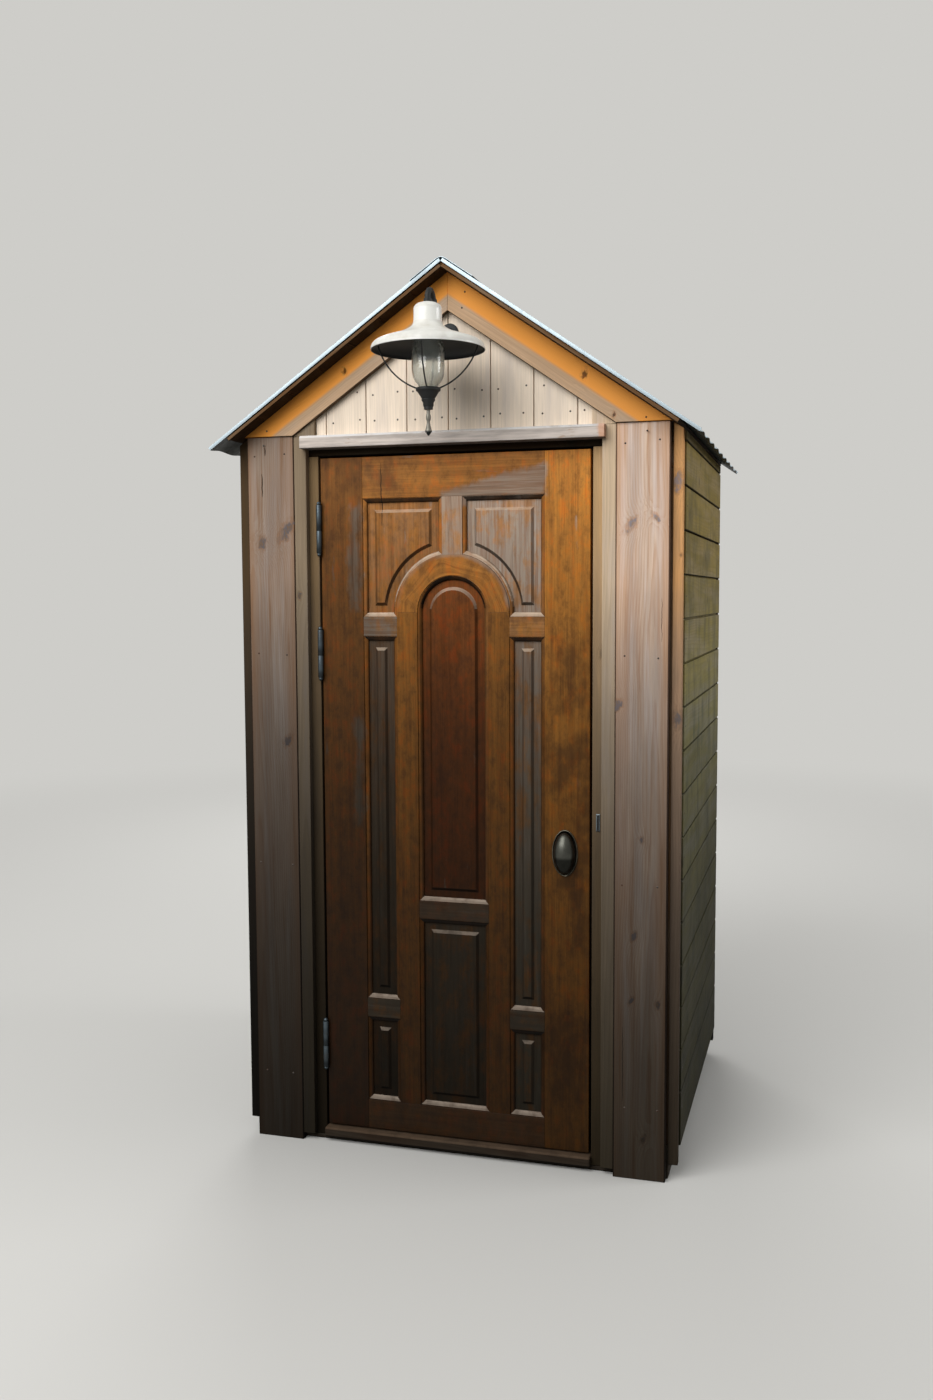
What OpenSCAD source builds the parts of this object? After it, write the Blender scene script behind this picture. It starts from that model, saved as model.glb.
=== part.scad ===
// Small gabled timber outhouse with a panelled door, a corrugated roof and a hanging lantern.
// The front faces -Y, +Z is up, and the origin is on the ground under the middle of the cabin.

/* [Door] */
// Width of the door leaf
door_w = 800; // [700:10:900]
// Height of the door leaf
door_h = 2000; // [1900:10:2100]
// Thickness of the door leaf
door_t = 40; // [36:1:48]
// Height of the leaf's lower edge above the ground
door_lift = 50; // [40:1:80]
// Gap beside the leaf
door_side_gap = 7; // [6.5:0.5:9]
// Gap over and under the leaf
door_end_gap = 6; // [5.5:0.5:9]
// Width of the outer stiles
stile_w = 129; // [110:1:135]
// Width of the inner stiles and of the arch band
band_w = 62; // [50:1:66]
// Width of the middle bay under the arch
bay_w = 212; // [190:2:226]
// Height of the top rail
top_rail_h = 119; // [105:1:140]
// Height of the bottom rail
bottom_rail_h = 88; // [80:1:120]
// Height of the small blocks at both ends of the arch
block_h = 56; // [46:1:80]
// Distance from the leaf's top to the arch's springing line
spring_drop = 449; // [420:1:456]
// Distance from the leaf's top to the upper blocks
upper_block_drop = 462; // [458:1:510]
// Distance from the leaf's top to the lower blocks
lower_block_drop = 1600; // [1500:1:1650]
// Distance from the leaf's top to the middle rail
mid_rail_drop = 1295; // [1200:1:1400]
// Height of the middle rail
mid_rail_h = 52; // [40:1:90]
// Width of the upright between the two upper panels
muntin_w = 60; // [40:1:80]
// Thickness of a panel at its flat margin
panel_edge_t = 16; // [10:1:18]
// Thickness of a panel at its raised field
panel_field_t = 28; // [24:1:32]
// Width of the flat margin between the moulding and the raised field
panel_margin = 21; // [16:1:26]
// Width of the bevel round a raised field
panel_bevel = 7; // [4:1:12]
// Width of the moulding round each panel
mould_w = 13; // [9:1:14]
// Width of the moulding where its round ends
mould_top = 1.5; // [1:0.5:4]
// Height of the moulding's upright foot over the panel
mould_foot = 2; // [1:0.5:4]
// Depth of the moulding's top below the frame's face
mould_set = 3; // [1:0.5:4]

/* [Front] */
// Width of the door jamb that shows beside the leaf
jamb_show = 31; // [20:1:40]
// Width of the door jamb in all
jamb_w = 93; // [85:1:110]
// Width of the door stop
stop_w = 14; // [10:1:20]
// Gap between the leaf and the stop behind it
stop_gap = 5.5; // [5:0.5:8]
// Width of the casing strips
casing_w = 36; // [30:1:60]
// Set-back of the casing strips from the wide front boards
casing_set = 2; // [1:1:4]
// Height of the casing strips above the ground
casing_lift = 20; // [10:1:40]
// Width of the wide front boards
front_board_w = 148; // [120:1:180]
// Thickness of the wide front boards
front_board_t = 25; // [22:1:30]
// Height of the drip board over the door
header_h = 37; // [30:1:60]
// Distance that the drip board stands out from the casing
header_out = 25; // [15:1:35]
// Distance from the leaf's top to the drip board
header_gap = 25; // [12:1:30]
// Distance that the drip board laps over each casing
header_lap = 8; // [4:1:20]
// Height of the chamfer on the drip board
header_chamfer = 7; // [3:1:12]
// Thickness of the threshold
threshold_t = 30; // [24:1:34]
// Height of the wide front boards over the drip board
board_over = 2; // [1:1:20]
// Thickness of the gable boards
gable_t = 20; // [16:1:24]
// Set-back of the gable boards from the wide front boards
gable_set = 14; // [12:1:16]
// Width of the upright over each casing
gable_upright_w = 66; // [50:1:90]

/* [Cabin] */
// Depth from the wide front boards to the rear planks
cabin_d = 1126; // [1000:2:1400]
// Thickness of the wall planks
plank_t = 32; // [24:1:40]
// Height of the lowest wall plank above the ground
plank_lift = 100; // [90:1:140]
// Width of the corner posts
post_w = 70; // [60:1:80]
// Gap between a wide front board and its corner strip
corner_gap = 6; // [4:1:10]
// Width of the corner strips
strip_w = 27; // [22:1:30]
// Depth of the corner strips
strip_d = 25; // [20:1:40]
// Set-back of the corner strips from the wide front boards
strip_set = 20; // [16:1:22]
// Height of the corner strips above the ground
strip_lift = 45; // [20:1:80]
// Height of the top plates
plate_h = 70; // [50:1:90]
// Thickness of the floor boards
floor_t = 22; // [18:1:28]
// Thickness of the bearers under the floor
bearer_t = 22; // [18:1:22]
// Width of the bearers under the floor
bearer_w = 70; // [50:1:90]
// Distance between the bearers
bearer_step = 300; // [240:10:340]

/* [Roof] */
// Slope of the roof in degrees
roof_pitch = 34.6; // [30:0.1:40]
// Distance from the middle of the cabin to the eave
eave_reach = 704; // [690:1:760]
// Overhang of the roof sheet at the front
verge_front = 70; // [50:1:120]
// Overhang of the roof sheet at the rear
verge_rear = 64; // [50:1:120]
// Set-back of the roof boards from the roof sheet at the verges
verge_step = 8; // [4:1:20]
// Thickness of the roof boards
sheathing_t = 12; // [10:1:20]
// Reach of the roof boards beyond the corner posts
sheathing_reach = 20; // [10:1:25]
// Thickness of the roof sheet
sheet_t = 1.5; // [1:0.1:2]
// Height of the waves in the roof sheet
wave_h = 10.5; // [8:0.5:20]
// Distance between the waves
wave_step = 140; // [100:5:200]
// Width of each flank of the ridge cap
cap_w = 110; // [80:5:150]
// Depth of the rafters
rafter_d = 70; // [60:1:90]
// Width of the rafters and of the ridge beam
rafter_w = 45; // [38:1:60]
// Width of the rafters' seat on the top plates
rafter_seat = 48; // [30:1:60]
// Height of the ridge beam
ridge_h = 95; // [80:1:120]
// Gap between the layers of the roof, along the slope
layer_gap = 0.05; // [0.02:0.01:0.2]
// Thickness of the barge boards
barge_t = 20; // [16:1:24]
// Distance that the barge boards stand out from the front boards
barge_out = 6; // [2:1:12]

/* [Hardware] */
// Length of a hinge barrel
hinge_l = 140; // [100:2:160]
// Radius of a hinge barrel
hinge_r = 8; // [6:0.5:8.5]
// Radius of a hinge pin
pin_r = 4.5; // [3:0.5:5]
// Running gap between a hinge pin and its bore
pin_gap = 0.05; // [0.05:0.01:0.1]
// Gap between the two halves of a hinge
knuckle_gap = 0.3; // [0.2:0.1:0.5]
// Length of a hinge pin above the lower half
pin_l = 52; // [30:1:60]
// Thickness of the hinge plates
hinge_plate_t = 2.5; // [2:0.5:3]
// Depth of the hinge plates
hinge_plate_d = 36; // [30:1:38]
// Radius of the balls at the ends of a hinge
finial_r = 6.5; // [5:0.5:8]
// Distances from the leaf's top to the middle of each hinge
hinge_drops = [205, 570, 1750];
// Height of the oval knob plate
knob_plate_h = 134; // [110:1:150]
// Width of the oval knob plate
knob_plate_w = 75; // [60:1:80]
// Distance from the leaf's free edge to the middle of the knob
knob_backset = 70; // [50:1:80]
// Distance from the leaf's top to the middle of the knob
knob_drop = 1130; // [900:1:1200]
// Distance that the knob stands out from the leaf
knob_out = 40; // [30:1:60]
// Width of the rim that shows round the knob
knob_rim = 7; // [3:1:10]

/* [Lantern] */
// Distance from the wide front boards to the middle of the lantern
lantern_out = 187; // [175:1:260]
// Radius of the lantern's shade
shade_r = 153; // [120:1:155]
// Height of the shade's rim above the leaf's top
shade_rise = 250; // [245:1:270]
// Thickness of the shade
shade_t = 2; // [1.5:0.5:3]
// Radius of the glass chimney
glass_r = 44; // [30:1:50]
// Thickness of the glass
glass_t = 3; // [2:0.5:4]
// Radius of the arm that carries the lantern
arm_r = 8; // [6:0.5:10]
// Length of the couplings on the arm
coupling_l = 10; // [8:1:16]
// Radius of the shade's crown
crown_r = 38; // [30:1:50]
// Height of the shade's dome over its rim
dome_h = 62; // [50:1:80]
// Height of the crown over the dome
crown_h = 52; // [40:1:60]
// Radius of the hub under the glass
hub_r = 33; // [30:1:40]
// Height of the hub
hub_h = 57; // [50:1:66]
// Distance from the shade's rim down to the hub
hub_drop = 98; // [90:1:120]
// Radius of the turned drop's foot
drop_r = 9.4; // [7:0.2:12]
// Height of the turned drop under the hub
drop_h = 69; // [60:1:75]
// Thickness of the stays
stay_t = 3; // [2:0.5:4]
// Width of the stays
stay_w = 4; // [3:0.5:8]
// Radius of the stays' bend
stay_bend = 166; // [120:2:220]
// Radius of the disc that fixes the arm to the gable
rose_r = 26; // [20:1:28]

/* [Hidden] */
$fn = 64;

// Places across the front, measured from the middle
leaf_x = door_w / 2;
jamb_x = leaf_x + door_side_gap;
casing_x = jamb_x + jamb_show;
board_x = casing_x + casing_w;
board_end_x = board_x + front_board_w;
wall_x = board_end_x + corner_gap;
wall_out_x = wall_x + plank_t;
post_x = wall_x - post_w;
upright_x = board_x - gable_upright_w;

// Places front to back, where the wide front boards' face is the cabin's front
front_y = -cabin_d / 2;
rear_y = cabin_d / 2;
casing_y = front_y + casing_set;
jamb_y = front_y + front_board_t;
floor_y = jamb_y + post_w;
plank_y = front_y + strip_set + strip_d;
gable_y = front_y + gable_set;
rafter_y = gable_y + gable_t;
barge_y = gable_y - barge_t;
rear_in_y = rear_y - plank_t;
leaf_y = jamb_y;
stop_y = leaf_y + door_t + stop_gap;

// Heights above the ground
leaf_top = door_lift + door_h;
head_z = leaf_top + door_end_gap;
header_z = leaf_top + header_gap;
header_top = header_z + header_h;
threshold_top = door_lift - door_end_gap;
threshold_z = threshold_top - threshold_t;
floor_top = bearer_t + floor_t;
front_board_top = header_top + board_over;
rise = tan(roof_pitch);
ridge_z = front_board_top + wall_x * rise;
rafter_h = rafter_d / cos(roof_pitch);
barge_h = (wall_x - board_x) * rise;
plate_top = ridge_z - (wall_x - rafter_seat) * rise - rafter_h;
plate_z = plate_top - plate_h;
sheathing_x = wall_x + sheathing_reach;
slope_l = eave_reach / cos(roof_pitch);
layer_rise = layer_gap / cos(roof_pitch);

// Height of the roof boards' underside at a distance from the middle
function under_z(x) = ridge_z - abs(x) * rise;

module box(x0, x1, y0, y1, z0, z1)
    translate([x0, y0, z0]) cube([x1 - x0, y1 - y0, z1 - z0]);

module both_sides() {
    children();
    mirror([1, 0, 0]) children();
}

// An outline drawn in X and Z, made solid from y0 to y1
module prism_y(y0, y1, points)
    translate([0, y1, 0]) rotate([90, 0, 0]) linear_extrude(y1 - y0) polygon(points);

// Base and floor

module side_sills() color("dimgray")
    both_sides() box(post_x, wall_x, jamb_y, rear_in_y, 0, plank_lift);

module rear_sill() color("dimgray")
    box(-post_x, post_x, rear_in_y - post_w, rear_in_y, 0, plank_lift);

module front_sill() color("dimgray")
    box(-post_x, post_x, jamb_y, floor_y, 0, threshold_z);

module floor_bearers() color("dimgray")
    for (x = [-bearer_step, 0, bearer_step])
        box(x - bearer_w / 2, x + bearer_w / 2, floor_y, rear_in_y - post_w, 0, bearer_t);

module floor_deck() color("burlywood")
    box(-post_x, post_x, floor_y, rear_in_y - post_w, bearer_t, floor_top);

module threshold() color("sienna")
    box(-jamb_x, jamb_x, casing_y + casing_set, floor_y, threshold_z, threshold_top);

// Frame

module corner_posts() color("peru") both_sides()
    for (y0 = [jamb_y, rear_in_y - post_w]) box(post_x, wall_x, y0, y0 + post_w, plank_lift, plate_z);

module wall_plates() color("peru")
    both_sides() box(post_x, wall_x, jamb_y, rear_in_y, plate_z, plate_top);

module rear_tie_beam() color("peru")
    box(-post_x, post_x, rear_in_y - post_w, rear_in_y, plate_z, plate_top);

// A jamb with the stop that the leaf closes towards, and a seat for each frame hinge plate
module jamb() {
    box(jamb_x, jamb_x + jamb_w, jamb_y, floor_y, threshold_z, head_z);
    box(jamb_x - stop_w, jamb_x, stop_y, floor_y, threshold_top, head_z);
}

module right_jamb() color("burlywood") jamb();

module left_jamb() color("burlywood") difference() {
    mirror([1, 0, 0]) jamb();
    for (drop = hinge_drops) frame_plate(drop);
}

module frame_head() color("peru")
    box(-jamb_x - jamb_w, jamb_x + jamb_w, jamb_y, floor_y, head_z, header_top);

// Front boards

module front_board() box(board_x, board_end_x, front_y, front_y + front_board_t, 0, front_board_top);

module right_front_board() color("tan") front_board();

module left_front_board() color("tan") mirror([1, 0, 0]) front_board();

// Lower edge of the barge board at a distance from the middle
function barge_z(x) = under_z(x) - barge_h;

// A casing strip with the wider upright that stands on it over the drip board
module casing() {
    box(casing_x, board_x, casing_y, jamb_y, casing_lift, header_top);
    prism_y(casing_y, jamb_y, [[upright_x, header_top], [board_x, header_top],
        [board_x, barge_z(board_x)], [upright_x, barge_z(upright_x)]]);
}

module right_casing() color("tan") casing();

module left_casing() color("tan") mirror([1, 0, 0]) casing();

// The drip board laps over the casings and fills the space between them up to the frame head
module drip_board() color("lightgray") union() {
    lap_x = casing_x + header_lap;
    difference() {
        box(-lap_x, lap_x, casing_y - header_out, casing_y, header_z, header_top);
        translate([0, casing_y - header_out, header_top]) rotate([45, 0, 0])
            cube([2 * lap_x + 2, header_chamfer, header_chamfer], center = true);
    }
    box(-casing_x, casing_x, casing_y, jamb_y, header_z, header_top);
}

// The gable boards fill the space between the uprights and run on behind the barge boards
module front_gable() color("wheat")
    prism_y(gable_y, rafter_y, [[-upright_x, header_top], [upright_x, header_top],
        [upright_x, barge_z(upright_x)], [board_x, front_board_top], [wall_x, front_board_top],
        [0, ridge_z], [-wall_x, front_board_top], [-board_x, front_board_top],
        [-upright_x, barge_z(upright_x)]]);

// The pair of boards along both slopes, cut level where they meet the front boards
module barge_pair(y0, y1) both_sides()
    prism_y(y0, y1, [[0, ridge_z], [0, ridge_z - barge_h], [board_x, front_board_top],
        [wall_x, front_board_top]]);

module front_barge_boards() color("darkorange") barge_pair(barge_y, gable_y);

module rear_barge_boards() color("darkorange") barge_pair(rear_y, rear_y + barge_t);

// Walls

// A side wall under the slope of the roof
module side_wall()
    prism_y(plank_y, -plank_y, [[wall_x, plank_lift], [wall_out_x, plank_lift],
        [wall_out_x, under_z(wall_out_x)], [wall_x, under_z(wall_x)]]);

module right_wall() color("darkkhaki") side_wall();

module left_wall() color("darkkhaki") mirror([1, 0, 0]) side_wall();

module rear_wall() color("darkkhaki")
    prism_y(rear_in_y, rear_y, [[-wall_x, plank_lift], [wall_x, plank_lift],
        [wall_x, under_z(wall_x)], [0, ridge_z], [-wall_x, under_z(wall_x)]]);

module corner_strips() color("sandybrown") both_sides()
    for (y0 = [front_y + strip_set, -front_y - strip_set - strip_d])
        prism_y(y0, y0 + strip_d, [[wall_x, strip_lift], [wall_x + strip_w, strip_lift],
            [wall_x + strip_w, under_z(wall_x + strip_w)], [wall_x, under_z(wall_x)]]);

// Roof

module ridge_beam() color("peru")
    prism_y(rafter_y, rear_in_y, [[-rafter_w / 2, ridge_z - ridge_h],
        [rafter_w / 2, ridge_z - ridge_h], [rafter_w / 2, under_z(rafter_w / 2)], [0, ridge_z],
        [-rafter_w / 2, under_z(rafter_w / 2)]]);

// One rafter with its seat cut on the top plate
module rafter(y0) difference() {
    prism_y(y0, y0 + rafter_w, [[rafter_w / 2, under_z(rafter_w / 2)],
        [rafter_w / 2, under_z(rafter_w / 2) - rafter_h], [wall_x, under_z(wall_x) - rafter_h],
        [wall_x, under_z(wall_x)]]);
    box(post_x, wall_x + 1, y0 - 1, y0 + rafter_w + 1, plate_z, plate_top);
}

module rafters() color("peru") both_sides()
    for (y0 = [rafter_y, -rafter_w / 2, rear_in_y - rafter_w]) rafter(y0);

module roof_boards()
    translate([0, 0, layer_rise]) prism_y(front_y - verge_front + verge_step,
        rear_y + verge_rear - verge_step, [[0, ridge_z], [sheathing_x, under_z(sheathing_x)],
        [sheathing_x + sheathing_t * sin(roof_pitch), under_z(sheathing_x) + sheathing_t * cos(roof_pitch)],
        [0, ridge_z + sheathing_t / cos(roof_pitch)]]);

module right_roof_boards() color("saddlebrown") roof_boards();

module left_roof_boards() color("saddlebrown") mirror([1, 0, 0]) roof_boards();

// One wave takes this many points, set so that its crest and its trough are short flats
wave_points = 10;
sheet_d = cabin_d + verge_front + verge_rear;
wave_count = round(sheet_d / wave_step);
function wave(i) = wave_h / 2 * (1 - cos(360 * (i + 0.5) / wave_points) / cos(180 / wave_points));

// Section of the sheet along the cabin, with its points half a step either side of each crest
wave_top = [for (i = [0 : wave_count * wave_points])
    [i * sheet_d / (wave_count * wave_points), wave(i) + sheet_t]];
wave_low = [for (i = [wave_count * wave_points : -1 : 0])
    [i * sheet_d / (wave_count * wave_points), wave(i)]];

// A corrugated sheet lying on the roof boards from the ridge to the eave
module roof_sheet()
    translate([0, front_y - verge_front, ridge_z + sheathing_t / cos(roof_pitch) + 2 * layer_rise])
        rotate([0, roof_pitch, 0]) rotate([90, 0, 90])
            linear_extrude(slope_l) polygon(concat(wave_top, wave_low));

module right_roof_sheet() color("lightsteelblue") roof_sheet();

module left_roof_sheet() color("lightsteelblue") mirror([1, 0, 0]) roof_sheet();

module ridge_cap() color("lightsteelblue") {
    lift = (sheathing_t + wave_h + sheet_t) / cos(roof_pitch) + 3 * layer_rise;
    skin = sheet_t / cos(roof_pitch);
    run = cap_w * cos(roof_pitch);
    top = ridge_z + lift + skin;
    prism_y(front_y - verge_front, rear_y + verge_rear, [[0, top], [run, top - run * rise],
        [run - sheet_t * sin(roof_pitch), top - run * rise - sheet_t * cos(roof_pitch)],
        [0, top - skin], [-run + sheet_t * sin(roof_pitch), top - run * rise - sheet_t * cos(roof_pitch)],
        [-run, top - run * rise]]);
}

// Hinges

hinge_x = -leaf_x - door_side_gap / 2;
hinge_y = leaf_y - hinge_r - 1;
lower_l = hinge_l * 0.46;
upper_l = hinge_l - lower_l - knuckle_gap;
function hinge_z(drop) = leaf_top - drop - hinge_l / 2;

// Plates of the frame's half and of the leaf's half
module frame_plate(drop)
    box(-jamb_x - hinge_plate_t, -jamb_x, hinge_y, hinge_y + hinge_plate_d + hinge_r,
        hinge_z(drop), hinge_z(drop) + lower_l);

module leaf_plate(drop)
    box(-leaf_x, -leaf_x + hinge_plate_t, hinge_y, hinge_y + hinge_plate_d + hinge_r,
        hinge_z(drop) + lower_l + knuckle_gap, hinge_z(drop) + hinge_l);

module frame_hinges() color("slategray") for (drop = hinge_drops) {
    frame_plate(drop);
    translate([hinge_x, hinge_y, hinge_z(drop)]) {
        cylinder(r = hinge_r, h = lower_l);
        cylinder(r = pin_r, h = lower_l + pin_l);
        translate([0, 0, -finial_r * 0.6]) sphere(r = finial_r);
    }
}

module door_hinges() color("slategray") for (drop = hinge_drops) difference() {
    union() {
        leaf_plate(drop);
        translate([hinge_x, hinge_y, hinge_z(drop) + lower_l + knuckle_gap])
            cylinder(r = hinge_r, h = upper_l);
        translate([hinge_x, hinge_y, hinge_z(drop) + hinge_l + finial_r * 0.6]) sphere(r = finial_r);
    }
    translate([hinge_x, hinge_y, hinge_z(drop) + lower_l])
        cylinder(r = pin_r + pin_gap, h = pin_l + 2);
}

// Door, with heights measured down from the leaf's top

bay_x = bay_w / 2;
band_x = bay_x + band_w;
stile_x = leaf_x - stile_w;
spring_z = leaf_top - spring_drop;
rail_z = leaf_top - top_rail_h;
sill_rail_z = door_lift + bottom_rail_h;
upper_block_z = leaf_top - upper_block_drop;
lower_block_z = leaf_top - lower_block_drop;
mid_rail_z = leaf_top - mid_rail_drop;
leaf_mid_y = leaf_y + door_t / 2;

module door_member(x0, x1, z0, z1) box(x0, x1, leaf_y, leaf_y + door_t, z0, z1);

module door_lock_stile() color("chocolate") door_member(stile_x, leaf_x, door_lift, leaf_top);

module door_hinge_stile() color("chocolate") difference() {
    door_member(-leaf_x, -stile_x, door_lift, leaf_top);
    for (drop = hinge_drops) leaf_plate(drop);
}

// The top, middle and bottom rails
module door_rails() color("chocolate") {
    door_member(-stile_x, stile_x, rail_z, leaf_top);
    door_member(-bay_x, bay_x, mid_rail_z - mid_rail_h, mid_rail_z);
    door_member(-stile_x, stile_x, door_lift, sill_rail_z);
}

module door_inner_stiles() color("chocolate")
    both_sides() door_member(bay_x, band_x, sill_rail_z, spring_z);

// A disc standing upright on the leaf's middle plane
module upright_disc(r, t)
    translate([0, leaf_mid_y + t / 2, spring_z]) rotate([90, 0, 0]) cylinder(r = r, h = t, $fn = 128);

// The arch band with the short upright over its crown
module door_arch() color("chocolate") difference() {
    union() {
        upright_disc(band_x, door_t);
        door_member(-muntin_w / 2, muntin_w / 2, spring_z, rail_z);
    }
    upright_disc(bay_x, door_t + 2);
    box(-band_x - 1, band_x + 1, leaf_y - 1, leaf_y + door_t + 1, spring_z - band_x - 1, spring_z);
}

module door_blocks() color("chocolate") both_sides()
    for (z = [upper_block_z, lower_block_z]) door_member(band_x, stile_x, z - block_h, z);

// What follows works outwards from a panel's margin, on both faces of the leaf
module both_faces()
    for (side = [0, 1]) translate([0, leaf_mid_y, 0]) mirror([0, side, 0])
        translate([0, -panel_edge_t / 2, 0]) children();

bevel_h = (panel_field_t - panel_edge_t) / 2;
field_edge = mould_w + panel_margin;

// A block over the opening x0 to x1 and z0 to z1, narrowed by low at its base and by high at h
module tapered_block(x0, x1, z0, z1, low, high, h) intersection() {
    translate([0, 0, z0]) linear_extrude(z1 - z0) polygon([[x0 + low, 0], [x1 - low, 0],
        [x1 - high, -h], [x0 + high, -h]]);
    translate([x0, 0, 0]) rotate([90, 0, 90]) linear_extrude(x1 - x0)
        polygon([[0, z0 + low], [0, z1 - low], [-h, z1 - high], [-h, z0 + high]]);
}

// A raised panel in a rectangular opening, fielded on both faces
module raised_panel(x0, x1, z0, z1) {
    box(x0, x1, leaf_mid_y - panel_edge_t / 2, leaf_mid_y + panel_edge_t / 2, z0, z1);
    both_faces() tapered_block(x0, x1, z0, z1, field_edge, field_edge + panel_bevel, bevel_h);
}

// A tapered form over the arched opening, above the sill at z0
module tapered_arch(z0, low, high, h) {
    intersection() {
        tapered_block(-bay_x, bay_x, z0, spring_z + bay_x, low, high, h);
        translate([-bay_x, -h, z0]) cube([2 * bay_x, h, spring_z - z0]);
    }
    translate([0, 0, spring_z]) rotate([90, 0, 0])
        cylinder(r1 = bay_x - low, r2 = bay_x - high, h = h, $fn = 128);
}

// The tall middle panel, whose field follows the arch
module arched_panel(z0) {
    box(-bay_x, bay_x, leaf_mid_y - panel_edge_t / 2, leaf_mid_y + panel_edge_t / 2, z0, spring_z);
    upright_disc(bay_x, panel_edge_t);
    both_faces() tapered_arch(z0, field_edge, field_edge + panel_bevel, bevel_h);
}

// The arch band's outline over the blocks, widened by low at its base and by high at h
module tapered_crown(low, high, h) {
    translate([0, 0, upper_block_z]) linear_extrude(spring_z - upper_block_z)
        polygon([[-band_x - low, 0], [band_x + low, 0], [band_x + high, -h], [-band_x - high, -h]]);
    translate([0, 0, spring_z]) rotate([90, 0, 0])
        cylinder(r1 = band_x + low, r2 = band_x + high, h = h, $fn = 128);
}

// An upper panel, cut by the arch
module spandrel_panel() difference() {
    raised_panel(muntin_w / 2, stile_x, upper_block_z, rail_z);
    upright_disc(band_x, door_t);
    door_member(-band_x, band_x, upper_block_z, spring_z);
    both_faces() tapered_crown(field_edge, field_edge + panel_bevel, bevel_h);
}

module door_panels() color("sienna") {
    both_sides() {
        spandrel_panel();
        raised_panel(band_x, stile_x, lower_block_z, upper_block_z - block_h);
        raised_panel(band_x, stile_x, sill_rail_z, lower_block_z - block_h);
    }
    arched_panel(mid_rail_z);
    raised_panel(-bay_x, bay_x, sill_rail_z, mid_rail_z - mid_rail_h);
}

// The mouldings step down from the frame's face and then round over to the panels' margins
mould_h = (door_t - panel_edge_t) / 2 - mould_set;
mould_steps = 3;
function round_w(i) = mould_top + (mould_w - mould_top) * cos(90 * i / mould_steps);
function round_h(i) = mould_foot + (mould_h - mould_foot) * sin(90 * i / mould_steps);

// Each layer of a moulding, as its width at its base, its width at its top, its base and its height
mould_layers = concat([[mould_w, mould_w, 0, mould_foot]], [for (i = [0 : mould_steps - 1])
    [round_w(i), round_w(i + 1), round_h(i), round_h(i + 1) - round_h(i)]]);

// The open space inside the moulding of a rectangular opening
module mould_space(x0, x1, z0, z1)
    for (part = mould_layers) translate([0, -part[2], 0])
        tapered_block(x0, x1, z0, z1, part[0], part[1], part[3]);

module mould_frame(x0, x1, z0, z1) both_faces() difference() {
    box(x0, x1, -mould_h, 0, z0, z1);
    mould_space(x0, x1, z0, z1);
}

module arch_mould(z0) both_faces() difference() {
    union() {
        box(-bay_x, bay_x, -mould_h, 0, z0, spring_z);
        translate([0, 0, spring_z]) rotate([90, 0, 0]) cylinder(r = bay_x, h = mould_h, $fn = 128);
    }
    for (part = mould_layers) translate([0, -part[2], 0]) tapered_arch(z0, part[0], part[1], part[3]);
}

module spandrel_mould() both_faces() difference() {
    box(muntin_w / 2, stile_x, -mould_h, 0, upper_block_z, rail_z);
    tapered_crown(0, 0, mould_h);
    difference() {
        mould_space(muntin_w / 2, stile_x, upper_block_z, rail_z);
        for (part = mould_layers) translate([0, -part[2], 0]) tapered_crown(part[0], part[1], part[3]);
    }
}

module door_mouldings() color("peru") {
    both_sides() {
        spandrel_mould();
        mould_frame(band_x, stile_x, lower_block_z, upper_block_z - block_h);
        mould_frame(band_x, stile_x, sill_rail_z, lower_block_z - block_h);
    }
    arch_mould(mid_rail_z);
    mould_frame(-bay_x, bay_x, sill_rail_z, mid_rail_z - mid_rail_h);
}

// Knob

// An oval with the width and height given
module oval(w, h) polygon([for (a = [0 : 7.5 : 352.5]) [w / 2 * cos(a), h / 2 * sin(a)]]);

// Half section of the oval knob, turned about its long axis
knob_r = knob_plate_w / 2 - knob_rim;
knob_l = knob_plate_h / 2 - knob_rim;
knob_profile = [for (a = [-90 : 7.5 : 90]) [knob_r * cos(a), knob_l * sin(a)]];

module door_knob() color("darkslategray")
    translate([leaf_x - knob_backset, leaf_y, leaf_top - knob_drop]) {
        rotate([90, 0, 0]) {
            linear_extrude(3) oval(knob_plate_w, knob_plate_h);
            linear_extrude(5) difference() {
                oval(knob_plate_w - 2, knob_plate_h - 2);
                oval(knob_plate_w - knob_rim, knob_plate_h - knob_rim);
            }
            linear_extrude(knob_out - knob_r + 2) oval(knob_r, knob_l);
        }
        translate([0, knob_r - knob_out, 0]) intersection() {
            rotate_extrude() polygon(knob_profile);
            box(-knob_r, knob_r, -knob_r, 0, -knob_l, knob_l);
        }
    }

// Lantern, with heights measured from the rim of its shade

lantern_y = front_y - lantern_out;
shade_z = leaf_top + shade_rise;
cap_h = shade_t * 6;
crown_top = shade_z + dome_h + crown_h + cap_h;
hub_top = shade_z - hub_drop;
hub_low = hub_top - hub_h;
tip_z = hub_low - drop_h;

module at_lantern() translate([0, lantern_y, 0]) children();

// Half section of the shade: a short skirt, a shallow dome and an upright crown
module shade_section(inset) polygon([[0, -1], [shade_r - inset, -1], [shade_r - inset, dome_h * 0.13],
    [shade_r * 0.965 - inset, dome_h * 0.29 - inset / 2], [shade_r * 0.87 - inset, dome_h * 0.43 - inset],
    [shade_r * 0.51, dome_h * 0.71 - inset], [crown_r * 1.2 - inset, dome_h - inset],
    [crown_r - inset, dome_h * 1.16 - inset], [crown_r - inset, dome_h + crown_h - inset],
    [crown_r * 0.74 - inset, dome_h + crown_h + cap_h * 0.67 - inset],
    [0, dome_h + crown_h + cap_h - inset]]);

module lantern_shade() color("whitesmoke") at_lantern() translate([0, 0, shade_z])
    rotate_extrude($fn = 96) difference() {
        intersection() {
            shade_section(0);
            square([shade_r, dome_h + crown_h + cap_h]);
        }
        shade_section(shade_t);
    }

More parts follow.
